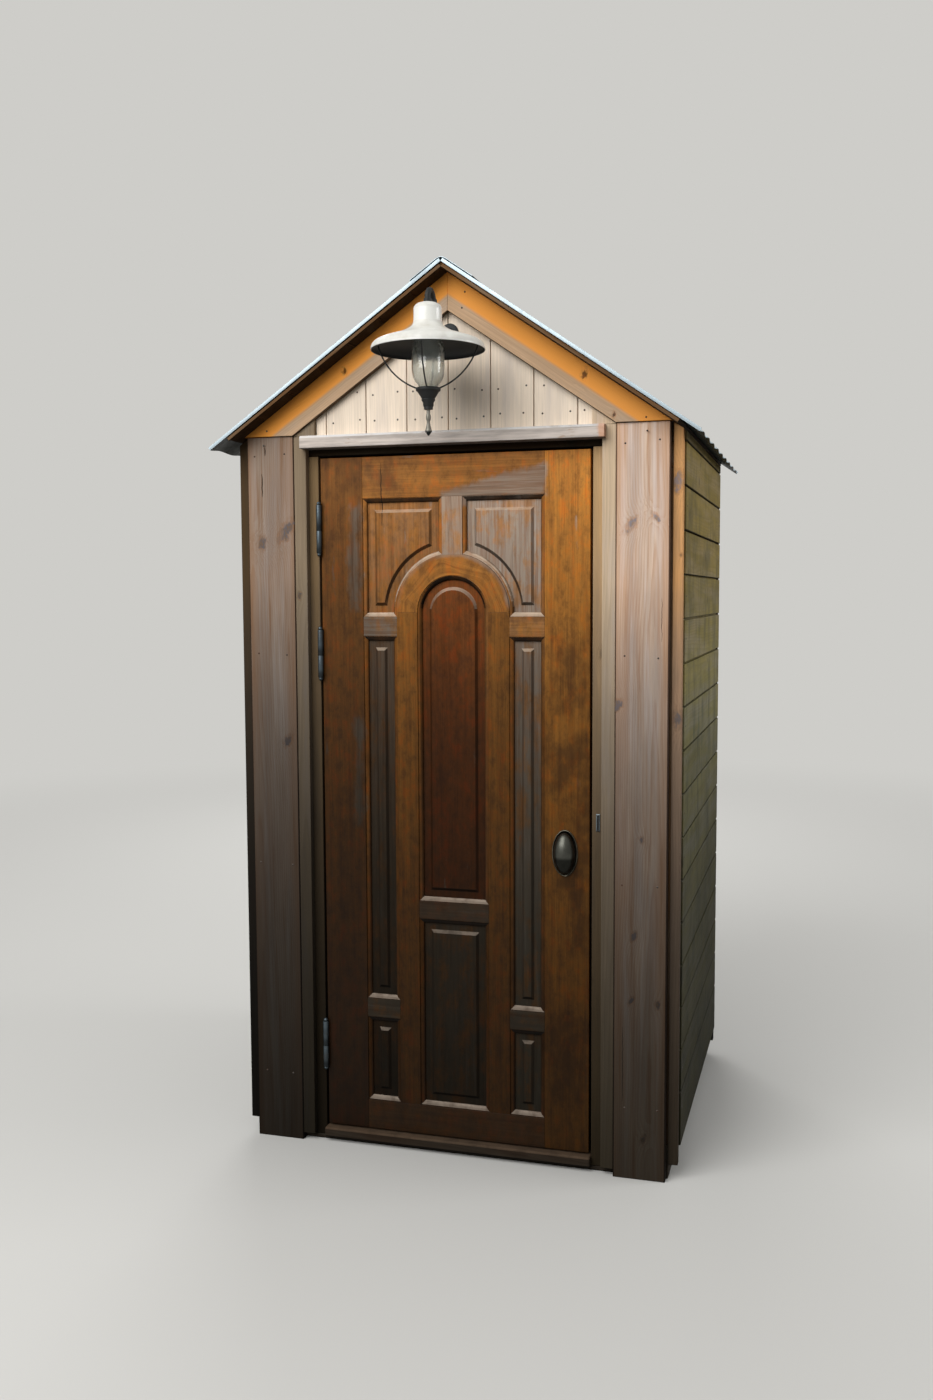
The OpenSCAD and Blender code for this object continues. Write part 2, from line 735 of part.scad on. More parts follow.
// The arm runs out under the barge boards, rises and hooks over into the crown
hook_r = arm_r * 3;
rise_r = arm_r * 5.5;
arm_z = barge_z(0) - 2.2 * rose_r;
elbow_y = lantern_y + 2 * hook_r + rise_r;
hook_z = max(crown_top + coupling_l / 2, arm_z + rise_r + coupling_l);

module coupling(y, z) translate([0, y, z]) cylinder(r = arm_r * 1.35, h = coupling_l);

module lantern_arm() color("dimgray") {
    translate([0, gable_y, arm_z]) rotate([90, 0, 0]) {
        cylinder(r = rose_r, h = arm_r * 0.6);
        cylinder(r = arm_r * 1.35, h = arm_r * 2);
        cylinder(r = arm_r, h = gable_y - elbow_y);
    }
    translate([0, elbow_y, arm_z + rise_r]) rotate([180, 90, 0])
        rotate_extrude(angle = 90) translate([rise_r, 0]) circle(r = arm_r);
    coupling(elbow_y - rise_r, hook_z - coupling_l / 2);
    translate([0, elbow_y - rise_r, arm_z + rise_r]) cylinder(r = arm_r, h = hook_z - arm_z - rise_r);
    translate([0, lantern_y + hook_r, hook_z]) rotate([90, 0, 90])
        rotate_extrude(angle = 180) translate([hook_r, 0]) circle(r = arm_r);
    translate([0, lantern_y, crown_top]) cylinder(r = arm_r, h = hook_z - crown_top);
    coupling(lantern_y, crown_top);
}

// The glass stands in the hub and reaches up into the crown
module glass_section(inset) polygon([[0, hub_top], [hub_r * 0.74 - inset, hub_top],
    [glass_r - inset, hub_top + hub_drop * 0.3], [glass_r - inset, shade_z + dome_h * 0.3],
    [crown_r * 0.85 - inset, shade_z + dome_h], [0, shade_z + dome_h]]);

module lantern_glass() color("lightcyan", 0.5) at_lantern() rotate_extrude() difference() {
    glass_section(0);
    glass_section(glass_t);
}

// Section of a bent stay, from the hub out and up to the underside of the shade
stay_foot = [hub_r * 0.9, -hub_drop - 1];
stay_head = [shade_r * 0.88, 0];
stay_mid = (stay_foot + stay_head) / 2;
stay_run = stay_head - stay_foot;
stay_off = sqrt(pow(stay_bend, 2) - pow(norm(stay_run) / 2, 2)) / norm(stay_run);
stay_centre = stay_mid + stay_off * [-stay_run[1], stay_run[0]];

module stay_section() intersection() {
    translate(stay_centre) difference() {
        circle(r = stay_bend + stay_t / 2, $fn = 256);
        circle(r = stay_bend - stay_t / 2, $fn = 256);
    }
    translate([stay_foot[0], stay_foot[1] - stay_t]) square([shade_r, hub_drop + dome_h]);
    union() {
        shade_section(shade_t);
        translate([0, -2 * hub_drop]) square([shade_r, 2 * hub_drop]);
    }
}

// The hub under the glass with its turned drop, and the stays that hold them to the shade
module lantern_frame() color("dimgray") at_lantern() {
    rotate_extrude() polygon([[0, hub_top], [hub_r, hub_top], [hub_r, hub_top - hub_h * 0.14],
        [hub_r * 0.73, hub_top - hub_h * 0.32], [hub_r * 0.52, hub_top - hub_h * 0.5],
        [hub_r * 0.43, hub_top - hub_h * 0.67], [hub_r * 0.41, hub_top - hub_h * 0.86],
        [hub_r * 0.36, hub_top - hub_h * 0.86], [hub_r * 0.36, hub_low], [drop_r * 0.53, hub_low - 2],
        [drop_r * 0.53, hub_low - drop_h * 0.16], [drop_r * 0.69, hub_low - drop_h * 0.24],
        [drop_r * 0.69, hub_low - drop_h * 0.36], [drop_r * 0.46, hub_low - drop_h * 0.44],
        [drop_r, tip_z + drop_h * 0.19], [drop_r, tip_z + drop_h * 0.13],
        [drop_r * 0.64, tip_z + drop_h * 0.12], [drop_r * 0.2, tip_z], [0, tip_z]]);
    for (a = [10 : 90 : 280]) translate([0, 0, shade_z]) rotate([90, 0, a])
        linear_extrude(stay_w, center = true) stay_section();
}

side_sills();
rear_sill();
front_sill();
floor_bearers();
floor_deck();
threshold();
corner_posts();
wall_plates();
rear_tie_beam();
left_jamb();
right_jamb();
frame_head();
left_front_board();
right_front_board();
left_casing();
right_casing();
drip_board();
front_gable();
front_barge_boards();
left_wall();
right_wall();
rear_wall();
corner_strips();
rear_barge_boards();
ridge_beam();
rafters();
left_roof_boards();
right_roof_boards();
left_roof_sheet();
right_roof_sheet();
ridge_cap();
frame_hinges();
lantern_arm();
lantern_shade();
lantern_glass();
lantern_frame();
door_hinge_stile();
door_lock_stile();
door_rails();
door_inner_stiles();
door_arch();
door_blocks();
door_panels();
door_mouldings();
door_hinges();
door_knob();
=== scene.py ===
"""Dresses the timber outhouse: boards and planks laid one by one, a varnished door with arched
panels, corrugated roof sheets and a hanging lantern, each with its own weathered finish."""

import math
import random

import bmesh
import bpy
from mathutils import Matrix, Vector


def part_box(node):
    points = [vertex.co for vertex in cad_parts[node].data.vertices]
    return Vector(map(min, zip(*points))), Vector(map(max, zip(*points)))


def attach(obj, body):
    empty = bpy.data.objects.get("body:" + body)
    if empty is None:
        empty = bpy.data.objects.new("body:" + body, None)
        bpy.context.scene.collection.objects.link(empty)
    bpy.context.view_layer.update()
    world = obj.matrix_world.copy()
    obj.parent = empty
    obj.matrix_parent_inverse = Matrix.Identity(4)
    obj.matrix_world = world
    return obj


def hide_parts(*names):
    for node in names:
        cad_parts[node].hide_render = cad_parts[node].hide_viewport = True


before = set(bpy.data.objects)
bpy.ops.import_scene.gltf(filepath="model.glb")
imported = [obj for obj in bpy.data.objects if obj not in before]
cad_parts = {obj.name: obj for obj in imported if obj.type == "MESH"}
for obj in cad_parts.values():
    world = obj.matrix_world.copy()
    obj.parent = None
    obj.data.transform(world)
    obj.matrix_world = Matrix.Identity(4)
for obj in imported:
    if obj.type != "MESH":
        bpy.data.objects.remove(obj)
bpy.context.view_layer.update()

bl_info = {
    "name": "Timber Outhouse",
    "version": (1, 0, 0),
    "blender": (4, 5, 0),
    "location": "View3D > Sidebar > Outhouse",
    "description": "Boards, panelled door, roof sheets and lantern of a small timber outhouse",
    "category": "Add Mesh",
}

CABIN, DOOR = "cabin", "door"
X, Y, Z = Vector((1, 0, 0)), Vector((0, 1, 0)), Vector((0, 0, 1))

# Places that come from the frame

WALL_LOW, WALL_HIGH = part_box("right_wall")
GABLE_LOW, GABLE_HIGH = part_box("front_gable")
LOCK_STILE_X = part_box("door_lock_stile")[0].x
SHADE_LOW, SHADE_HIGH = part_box("lantern_shade")
LANTERN_Y = ((SHADE_LOW + SHADE_HIGH) / 2).y
RIM_Z, CROWN_Z = SHADE_LOW.z, SHADE_HIGH.z
SHADE_RADIUS = (SHADE_HIGH.x - SHADE_LOW.x) / 2
RIDGE_Z = GABLE_HIGH.z
RISE = (RIDGE_Z - WALL_HIGH.z) / WALL_LOW.x
PITCH = math.atan(RISE)
SLOPE_NORMAL = Vector((math.sin(PITCH), 0, math.cos(PITCH)))

# Places and sizes of the small things, in metres

# How near points lie before they are made one: on new pieces, on CAD pieces and in an array
WELD, CAD_WELD, ARRAY_WELD = 0.00002, 0.00001, 0.0001
# Boards and planks
GABLE_SEAM_X = -0.0051
SEAM_FROM_UPRIGHT, SEAM_PAST_UPRIGHT, SEAM_FROM_CORNER = 0.02, 0.03, 0.02
LEAST_PLANK = 0.005
PLANK_LAP = 0.006
BARGE_SHELTER = 0.050
# Nails
GABLE_NAILS_Z = (2.150, 2.228)
GABLE_NAILS_REACH = 0.4
NAIL_PAIR = 0.0375
NAIL_MARGIN = 0.02
NAIL_STRAY = 0.006
BOARD_NAILS_X = (0.5024, 0.5950)
BOARD_NAILS_Z = (0.210, 0.8465, 1.480, 2.060)
BARGE_NAILS_X = (0.045, 0.560)
BARGE_NAIL_SHARES = (0.3, 0.7)
WALL_NAILS_Y = (-0.492, 0.492)
REAR_NAILS_X = 0.594
LOWEST_NAIL = 0.1
# Roof
RIDGE_ROUND = 0.014
WAVE_STEPS = 14
SCREW_ROWS = (0.22, 0.56, 0.92)
VERGE_STRIP = 0.005
VERGE_GAP = 0.003
FOLD_ABOVE, FOLD_BELOW = 0.0085, 0.0010
# Door: heights that part its lowest rail, its waist and its upper corner panels
FOOT_Z, WAIST_Z, SPANDREL_Z = 0.5, 1.0, 1.6
BLOCK_REACH = 0.1
PANEL_REACH = 0.05
ARCH_FLAT = 0.003
PLATE_THICKNESS = 0.003
KNOB_RIM = 0.007
KEEP_LOW, KEEP_HIGH = (0.4185, 0.986), (0.4300, 1.036)
KEEP_THICKNESS = 0.0015
KEEP_RIM = 0.0034
# Lantern
ENAMEL_SHEET = 0.002
ARM_RADIUS = 0.008
HOOK_RADIUS = 3 * ARM_RADIUS
ELBOW_RADIUS = 5.5 * ARM_RADIUS
ROSE_RADIUS = 0.026
HUB_RADIUS = 0.033
HUB_HEIGHT = 0.057
HUB_DROP = 0.098
DROP_RADIUS = 0.0094
STAY_BEND = 0.166
STAY_ANGLES = (10, 100, 190, 280)
GLASS_WALL = 0.003

# Knots of the wide front boards: place across, height, radius and lean
BOARD_KNOTS = (
    (0.5165, 1.8395, 0.0118, 0.45), (0.5837, 1.8587, 0.0075, -0.6), (0.4800, 1.3435, 0.0120, 0.4),
    (0.5501, 0.9729, 0.0060, 0.0), (0.5301, 0.6981, 0.0075, 0.2), (0.5234, 0.5139, 0.0070, 0.4),
    (0.5983, 0.5100, 0.0065, 0.0), (0.5602, 0.1175, 0.0080, 0.3), (-0.5000, 1.8390, 0.0175, 0.5),
    (-0.5780, 1.8070, 0.0110, 0.1), (-0.5050, 1.2226, 0.0120, 0.3),
)
BARGE_KNOTS = (
    (0.3871, 2.2480, 0.0080, 0.1), (0.4693, 2.1344, 0.0050, 0.0), (-0.3100, 2.2900, 0.0070, 0.0),
)
CASING_KNOTS = ((-0.4620, 1.6502, 0.0060, 0.0),)
# Cracks of the wide front boards: place across, foot, head and width
BOARD_CRACKS = (
    (-0.5752, 1.9400, 2.0100, 0.0022), (-0.5643, 2.0600, 2.0850, 0.0022),
    (0.6020, 1.5200, 1.6400, 0.0009), (0.5010, 0.2200, 0.4400, 0.0010),
)
# Stains of the corner strips, in the same order as the knots
STRIP_STAINS = ((0.6400, 1.9560, 0.0160, 0.1), (0.6420, 1.3106, 0.0130, 0.0))

# The camera of the photograph
CAMERA_PLACE = Vector((1.0623, -4.0737, 1.649))
CAMERA_YAW = math.radians(16.11)
CAMERA_DIP = math.radians(4.64)
CAMERA_ROLL = -0.0046
CAMERA_LENS = 33.07
CAMERA_SENSOR = 36.0

# The studio's floor: its radius, and the distances between which it fades
FLOOR_RADIUS = 60
FLOOR_FADE = (2.0, 9.0)
# Light from the horizon and from overhead, the place that the lights look at, and the lights:
# name, place, size and share
SKY_SHARES = (0.20, 0.46)
LIT_PLACE = (0, 0, 1.2)
LIGHTS = (
    ("key_light", (-2.2, -5.4, 5.4), 6.2, 1.06),
    ("side_light", (6.5, 1.0, 3.2), 3.0, 0.40),
    ("rear_light", (-2.0, 6.0, 4.5), 4.0, 0.50),
)


def under_roof(x):
    """Height of the roof boards' underside at a distance from the middle."""
    return RIDGE_Z - abs(x) * RISE


def srgb(red, green, blue):
    """A colour read from 0 to 255, as Blender's linear colour."""
    def linear(value):
        value /= 255
        return value / 12.92 if value <= 0.04045 else ((value + 0.055) / 1.055) ** 2.4
    return (linear(red), linear(green), linear(blue), 1.0)


# Sizes and colours that a user would change


def length_prop(title, default, about):
    return bpy.props.FloatProperty(name=title, description=about, default=default, min=0.0001,
                                   unit="LENGTH", subtype="DISTANCE", precision=4)


def colour_prop(title, default, about):
    return bpy.props.FloatVectorProperty(name=title, description=about, default=srgb(*default),
                                         size=4, min=0, max=1, subtype="COLOR")


class OuthouseSizes(bpy.types.PropertyGroup):
    """Sizes of what is laid over the frame."""

    plank_pitch: length_prop("Plank pitch", 0.121, "Height of one wall plank with its groove")
    plank_line: length_prop("Plank line", 1.947, "Height of the highest whole groove in the walls")
    groove_gap: length_prop("Groove gap", 0.0055, "Width of the groove between two wall planks")
    groove_depth: length_prop("Groove depth", 0.011, "Depth of the groove between two planks")
    gable_pitch: length_prop("Gable board width", 0.1236, "Width of one gable board")
    gable_seam: length_prop("Gable seam", 0.0025, "Width of the seam between two gable boards")
    roof_board: length_prop("Roof board width", 0.112, "Width of one roof board")
    floor_board: length_prop("Floor board width", 0.103, "Width of one floor board")
    board_gap: length_prop("Board gap", 0.002, "Gap between roof boards and between floor boards")
    soft_edge: length_prop("Soft edge", 0.0018, "Width that weather has taken off the edges")
    door_edge: length_prop("Door edge", 0.0011, "Width of the eased edges of the door")
    mould_edge: length_prop("Moulding edge", 0.0006, "Eased edges of the mouldings and hinges")
    nail_radius: length_prop("Nail head radius", 0.0028, "Radius of a nail's head")
    sheet_thickness: length_prop("Sheet thickness", 0.0015, "Thickness of the roof sheets")
    wave_height: length_prop("Wave height", 0.006, "Height of the waves in the roof sheets")
    wave_count: bpy.props.IntProperty(name="Waves", description="Number of waves along the roof",
                                      default=9, min=2, max=30)
    screw_radius: length_prop("Screw washer radius", 0.0075, "Radius of a roof screw's washer")
    stay_radius: length_prop("Stay radius", 0.0021, "Radius of the lantern's stays")


class OuthouseColours(bpy.types.PropertyGroup):
    """Colours of the finishes."""

    varnish_gold: colour_prop("Varnish gold", (214, 142, 56), "Varnish where it is sound")
    varnish_brown: colour_prop("Varnish brown", (146, 82, 26), "Varnish along the dark grain")
    varnish_red: colour_prop("Varnish red", (152, 82, 30), "Varnish of the arched panel")
    varnish_dark: colour_prop("Varnish dark", (58, 35, 19), "Stains on the varnish")
    worn_wood: colour_prop("Worn wood", (182, 165, 148), "Bare wood where varnish has gone")
    pine_pale: colour_prop("Pine pale", (238, 213, 190), "Front boards between the rings")
    pine_line: colour_prop("Pine line", (190, 140, 108), "Front boards along the rings")
    pine_grey: colour_prop("Pine grey", (198, 183, 172), "Front boards where they have greyed")
    casing_tan: colour_prop("Casing tan", (218, 192, 160), "Casing strips")
    jamb_tan: colour_prop("Jamb tan", (208, 172, 126), "Door jambs")
    strip_tan: colour_prop("Corner strip tan", (236, 178, 118), "Corner strips")
    gable_pale: colour_prop("Gable pale", (252, 234, 212), "Gable boards")
    barge_fresh: colour_prop("Barge fresh", (255, 166, 64), "Barge boards under the roof's edge")
    barge_tan: colour_prop("Barge tan", (206, 172, 138), "Barge boards along their lower edge")
    drip_grey: colour_prop("Drip board grey", (206, 194, 184), "Drip board")
    plank_olive: colour_prop("Plank olive", (138, 131, 86), "Wall planks")
    plank_dark: colour_prop("Plank dark", (74, 80, 70), "Streaks on the wall planks")
    old_brown: colour_prop("Old brown", (118, 86, 56), "Roof boards and framing")
    ground_dark: colour_prop("Ground timber", (74, 62, 50), "Timbers on the ground")
    sheet_grey: colour_prop("Roof sheet", (176, 194, 202), "Zinc coat of the roof sheets")
    hinge_grey: colour_prop("Hinge steel", (72, 82, 88), "Steel of the hinges")
    enamel_white: colour_prop("Enamel", (226, 226, 220), "Outside of the lantern's shade")
    iron_dark: colour_prop("Dark iron", (14, 18, 18), "Lantern's metal and inside of its shade")
    drop_grey: colour_prop("Drop grey", (122, 118, 108), "Turned drop under the lantern")
    bronze: colour_prop("Bronze", (84, 84, 78), "Knob and its plate")
    floor_pale: colour_prop("Studio floor", (206, 205, 201), "Floor of the studio")


# Modelling, the way it is done by hand


def clear_selection():
    if bpy.context.object and bpy.context.object.mode != "OBJECT":
        bpy.ops.object.mode_set(mode="OBJECT")
    bpy.ops.object.select_all(action="DESELECT")


def pick(piece):
    """Makes a piece the only selected one, and the active one."""
    clear_selection()
    piece.select_set(True)
    bpy.context.view_layer.objects.active = piece


def named(title):
    """Names the active object and its mesh."""
    piece = bpy.context.object
    piece.name = piece.data.name = title
    return piece


def edit(piece, kind="FACE"):
    """Opens a piece in edit mode, for work on faces, edges or points, with all of it selected."""
    pick(piece)
    bpy.ops.object.mode_set(mode="EDIT")
    bpy.context.tool_settings.mesh_select_mode = (kind == "VERT", kind == "EDGE", kind == "FACE")
    bpy.ops.mesh.select_all(action="SELECT")


def choose(piece, test, kind="FACE"):
    """Selects those faces, edges or points that a test says yes to, in edit mode."""
    edit(piece, kind)
    bpy.ops.mesh.select_all(action="DESELECT")
    shape = bmesh.from_edit_mesh(piece.data)
    for part in {"VERT": shape.verts, "EDGE": shape.edges, "FACE": shape.faces}[kind]:
        part.select_set(test(part))
    bmesh.update_edit_mesh(piece.data)


def done():
    """Leaves edit mode."""
    bpy.ops.object.mode_set(mode="OBJECT")


def extrude(step):
    """Draws what is selected out by a step, in edit mode."""
    bpy.ops.mesh.extrude_region_move(TRANSFORM_OT_translate={"value": step})


def added(title, data):
    """A new object in the scene."""
    thing = bpy.data.objects.new(title, data)
    bpy.context.collection.objects.link(thing)
    return thing


def facing(axis):
    """A test for faces that look along an axis."""
    return lambda face: face.normal.dot(axis) > 0.9


def block(title, low, high):
    """A squared timber between two corners."""
    low, high = Vector(low), Vector(high)
    clear_selection()
    bpy.ops.mesh.primitive_cube_add(size=1, location=(low + high) / 2)
    timber = named(title)
    timber.scale = high - low
    bpy.ops.object.transform_apply()
    return timber


def cut(piece, point, normal):
    """Saws off what lies beyond a plane, on the side its normal points to."""
    edit(piece)
    bpy.ops.mesh.bisect(plane_co=point, plane_no=normal, use_fill=True, clear_outer=True)
    done()


def cut_under_roof(piece):
    """Saws a piece off along both slopes, under the roof boards."""
    for side in (-1, 1):
        cut(piece, (0, 0, RIDGE_Z), (side * SLOPE_NORMAL.x, 0, SLOPE_NORMAL.z))


def modified(piece, kind, **settings):
    """Adds a modifier with its settings and applies it."""
    pick(piece)
    modifier = piece.modifiers.new(kind.lower(), kind)
    for name, value in settings.items():
        setattr(modifier, name, value)
    bpy.ops.object.modifier_apply(modifier=modifier.name)


def soften(piece, width, segments=2, angle=28):
    """Rounds off the edges that are sharper than an angle."""
    modified(piece, "BEVEL", width=width, segments=segments, limit_method="ANGLE",
             angle_limit=math.radians(angle))


def smooth(piece, angle=40):
    pick(piece)
    bpy.ops.object.shade_smooth_by_angle(angle=math.radians(angle))


def face_outwards(piece):
    """Turns all faces of a closed piece outwards."""
    edit(piece)
    bpy.ops.mesh.normals_make_consistent(inside=False)
    done()


def turn(piece, turning):
    """Turns and moves a piece by a matrix, and keeps its place in its mesh."""
    pick(piece)
    piece.matrix_world = turning
    bpy.ops.object.transform_apply()


def sawn_in_two(piece, joint):
    """The lower and the upper part of a piece, sawn through at the height of a point."""
    upper = copy_of(piece, (0, 0, 0))
    cut(piece, joint, Z)
    cut(upper, joint, -Z)
    return piece, upper


def join(title, parts):
    """Joins parts into one piece."""
    clear_selection()
    for part in parts:
        part.select_set(True)
    bpy.context.view_layer.objects.active = parts[0]
    bpy.ops.object.join()
    return named(title)


def copy_of(piece, offset):
    """A copy of a piece with a mesh of its own, moved by an offset."""
    pick(piece)
    bpy.ops.object.duplicate(linked=False)
    twin = bpy.context.object
    twin.location = offset
    bpy.ops.object.transform_apply()
    return twin


def traced(title, points):
    """Draws a line of points, each extruded from the last one, and stays in edit mode."""
    clear_selection()
    bpy.ops.mesh.primitive_plane_add(size=0.001, location=points[0])
    line = named(title)
    bpy.ops.object.transform_apply()
    edit(line, "VERT")
    bpy.ops.mesh.merge(type="CENTER")
    for here, there in zip(points, points[1:]):
        extrude(Vector(there) - Vector(here))
    return line


def lathed(title, axis_place, profile, steps=48):
    """Turns a profile of radius and height about an upright axis."""
    place = Vector(axis_place)
    points = [place + Vector((radius, 0, height)) for radius, height in profile]
    turned = traced(title, points)
    bpy.ops.mesh.select_all(action="SELECT")
    bpy.ops.mesh.spin(steps=steps, angle=math.tau, center=place, axis=(0, 0, 1))
    bpy.ops.mesh.select_all(action="SELECT")
    bpy.ops.mesh.remove_doubles(threshold=WELD)
    bpy.ops.mesh.normals_make_consistent(inside=False)
    done()
    smooth(turned)
    return turned


def eased(profile, times=2):
    """Rounds the corners of a profile by cutting each one off at its quarters."""
    points = [Vector(point) for point in profile]
    for _ in range(times):
        middle = [part for here, there in zip(points, points[1:])
                  for part in (here.lerp(there, 0.25), here.lerp(there, 0.75))]
        points = [points[0], *middle, points[-1]]
    return [tuple(point) for point in points]


def tube(title, points, radius):
    """A round bar along a line of points, with closed ends."""
    clear_selection()
    line = bpy.data.curves.new(title, "CURVE")
    line.dimensions = "3D"
    line.bevel_depth = radius
    line.bevel_resolution = 5
    line.use_fill_caps = True
    spline = line.splines.new("POLY")
    spline.points.add(len(points) - 1)
    for spot, place in zip(spline.points, points):
        spot.co = (*place, 1)
    pick(added(title, line))
    bpy.ops.object.convert(target="MESH")
    bar = named(title)
    edit(bar)
    bpy.ops.mesh.remove_doubles(threshold=WELD)
    done()
    smooth(bar)
    return bar


def arc(centre, radius, start, end, steps, first=X, second=Z):
    """Points along an arc in the plane of two axes, with its angles in degrees."""
    turns = [math.radians(start + (end - start) * i / steps) for i in range(steps + 1)]
    return [Vector(centre) + radius * (math.cos(a) * first + math.sin(a) * second) for a in turns]


def span_of(piece):
    """Lowest and highest corner of a piece."""
    spots = [spot.co for spot in piece.data.vertices]
    low = Vector([min(spot[axis] for spot in spots) for axis in range(3)])
    high = Vector([max(spot[axis] for spot in spots) for axis in range(3)])
    return low, high


def middle_of(piece):
    low, high = span_of(piece)
    return (low + high) / 2


def lie_of(piece):
    """The longest and the next direction of a squared timber."""
    low, high = span_of(piece)
    sides = sorted(zip(high - low, (X, Y, Z)), key=lambda side: -side[0])
    return sides[0][1], sides[1][1]


def slope_lie(piece):
    """Directions down the roof's slope and square to it."""
    side = math.copysign(1, middle_of(piece).x)
    return (Vector((side * math.cos(PITCH), 0, -math.sin(PITCH))),
            Vector((side * math.sin(PITCH), 0, math.cos(PITCH))))


def lay_grain(piece, along, across, seed, worn=0.0, stain=0.0, dark=0.0, hub=None):
    """Notes on each point how far it lies across, into and along its board, and the board's tone.

    Where a hub is given, the grain runs round it, as in a bent band."""
    chance = random.Random(seed)
    tone, shift = chance.random(), chance.uniform(-40, 40)
    centre, deep = hub or middle_of(piece), along.cross(across)
    places = []
    for spot in piece.data.vertices:
        offset = spot.co - centre
        aside, ahead = offset.dot(across), offset.dot(along)
        if hub:
            reach = math.hypot(aside, ahead)
            aside, ahead = reach, math.atan2(ahead, aside) * reach
        places += (aside, offset.dot(deep), ahead + shift)
    notes = piece.data.attributes
    notes.new("grain", "FLOAT_VECTOR", "POINT").data.foreach_set("vector", places)
    # Besides its tone, each piece notes how worn and stained it is, and with dark how far painted shade
    # darkens it
    for title, value in (("tone", tone), ("worn", worn), ("stain", stain), ("dark", dark)):
        spots = notes.new(title, "FLOAT", "POINT").data
        spots.foreach_set("value", [value] * len(spots))


def parts_of(node, title):
    """The separate solids of a CAD node, copied and merged, in the order of their places."""
    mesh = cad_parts[node].data.copy()
    mesh.materials.clear()
    edit(added(title, mesh))
    bpy.ops.mesh.remove_doubles(threshold=CAD_WELD)
    bpy.ops.mesh.dissolve_limited(angle_limit=math.radians(0.5))
    bpy.ops.mesh.separate(type="LOOSE")
    done()
    parts = [piece for piece in bpy.context.selected_objects if piece.type == "MESH"]
    return sorted(parts, key=lambda part: [round(value, 4) for value in middle_of(part)])


def even_look(**amounts):
    """A look that is the same wherever a part lies: how worn and stained it is, and how far painted
    shade darkens it.
    """
    return lambda place: amounts


def timbers_of(node, title, edge, lie=lie_of, look=even_look(), segments=2, angle=28):
    """The timbers of a CAD node, copied, each with soft edges and a grain of its own.

    A look tells from a timber's place how worn and stained it is, and how far painted shade darkens it."""
    parts = parts_of(node, title)
    for number, part in enumerate(parts):
        soften(part, edge, segments, angle)
        lay_grain(part, *lie(part), f"{title} {number}", **look(middle_of(part)))
    return join(title, parts)


def smith_work_of(node, title, edge):
    """The metal of a CAD node, copied, with eased edges and smooth rounds."""
    piece = join(title, parts_of(node, title))
    soften(piece, edge)
    smooth(piece, 30)
    return piece


def finished(piece, material, body, slot, *nodes):
    """Gives a piece its finish and its body, and hides the nodes that it stands for. The slot is not
    used.
    """
    if material:
        piece.data.materials.append(material)
    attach(piece, body)
    if nodes:
        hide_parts(*nodes)


def fitted(node, title, edge, material, slot, body=CABIN, **settings):
    """Sets up the timbers of a CAD node with their finish, in place of that node."""
    finished(timbers_of(node, title, edge, **settings), material, body, slot, node)


def two_toned(piece, first, second, test):
    """Gives a piece one finish, and another on the faces that a test says yes to."""
    piece.data.materials.append(first)
    piece.data.materials.append(second)
    for face in piece.data.polygons:
        face.material_index = 1 if test(face) else 0
    return piece


# Wiring of patterns


class Wires:
    """Adds nodes to a tree and joins them, so that a pattern reads as a sum.

    A value may be a number, a colour, a vector or another node's output."""

    def __init__(self, tree):
        self.tree = tree

    def set(self, socket, value):
        """Wires an output to a socket, or writes a plain value there."""
        if isinstance(value, bpy.types.NodeSocket):
            self.tree.links.new(value, socket)
        else:
            socket.default_value = value

    def fill(self, node, values):
        """Sets sockets of a node by their names or their numbers."""
        for name, value in dict(values).items():
            self.set(node.inputs[name], value)
        return node

    def add(self, kind, values=(), **settings):
        """A new node with its settings, and with its sockets filled."""
        node = self.tree.nodes.new(kind)
        for name, value in settings.items():
            setattr(node, name, value)
        return self.fill(node, values)

    def math(self, operation, *values):
        return self.add("ShaderNodeMath", enumerate(values), operation=operation).outputs[0]

    def chain(self, operation, values):
        """Takes values through an operation, one after another."""
        total = values[0]
        for value in values[1:]:
            total = self.math(operation, total, value)
        return total

    def vector(self, operation, *values, output=0):
        node = self.add("ShaderNodeVectorMath", enumerate(values), operation=operation)
        return node.outputs[output]

    def mix(self, factor, first, second, blend="MIX"):
        node = self.add("ShaderNodeMix", {0: factor, 6: first, 7: second}, data_type="RGBA",
                        blend_type=blend)
        return node.outputs[2]

    def ease(self, value, low, high, to_low=0.0, to_high=1.0):
        """A soft step of a value, from its low to its high end."""
        node = self.add("ShaderNodeMapRange", {"Value": value, "From Min": low, "From Max": high,
                                               "To Min": to_low, "To Max": to_high},
                        interpolation_type="SMOOTHSTEP")
        return node.outputs[0]

    def noise(self, vector, stretch, detail=3.0, roughness=0.55):
        """Noise with as many waves to a metre along each axis as stretch says."""
        stretched = self.vector("MULTIPLY", vector, stretch)
        node = self.add("ShaderNodeTexNoise", {"Vector": stretched, "Scale": 1.0,
                                               "Detail": detail, "Roughness": roughness})
        return node.outputs[0]

    def parts(self, vector):
        return self.add("ShaderNodeSeparateXYZ", {0: vector}).outputs

    def point(self, x, y, z):
        return self.add("ShaderNodeCombineXYZ", {0: x, 1: y, 2: z}).outputs[0]

    def sum(self, *values):
        return self.chain("ADD", values)

    def most(self, *values):
        return self.chain("MAXIMUM", values)

    def times(self, *values):
        return self.chain("MULTIPLY", values)

    def less(self, first, second):
        return self.math("SUBTRACT", first, second)

    def group(self, shared, values):
        return self.add("ShaderNodeGroup", values, node_tree=shared()).outputs

    def attribute(self, name, output="Fac"):
        return self.add("ShaderNodeAttribute", attribute_name=name).outputs[output]

    def place(self, output="Object"):
        """The spot on the piece, or with Normal the way that its surface looks."""
        return self.add("ShaderNodeTexCoord").outputs[output]


FLOAT, VECTOR = "NodeSocketFloat", "NodeSocketVector"


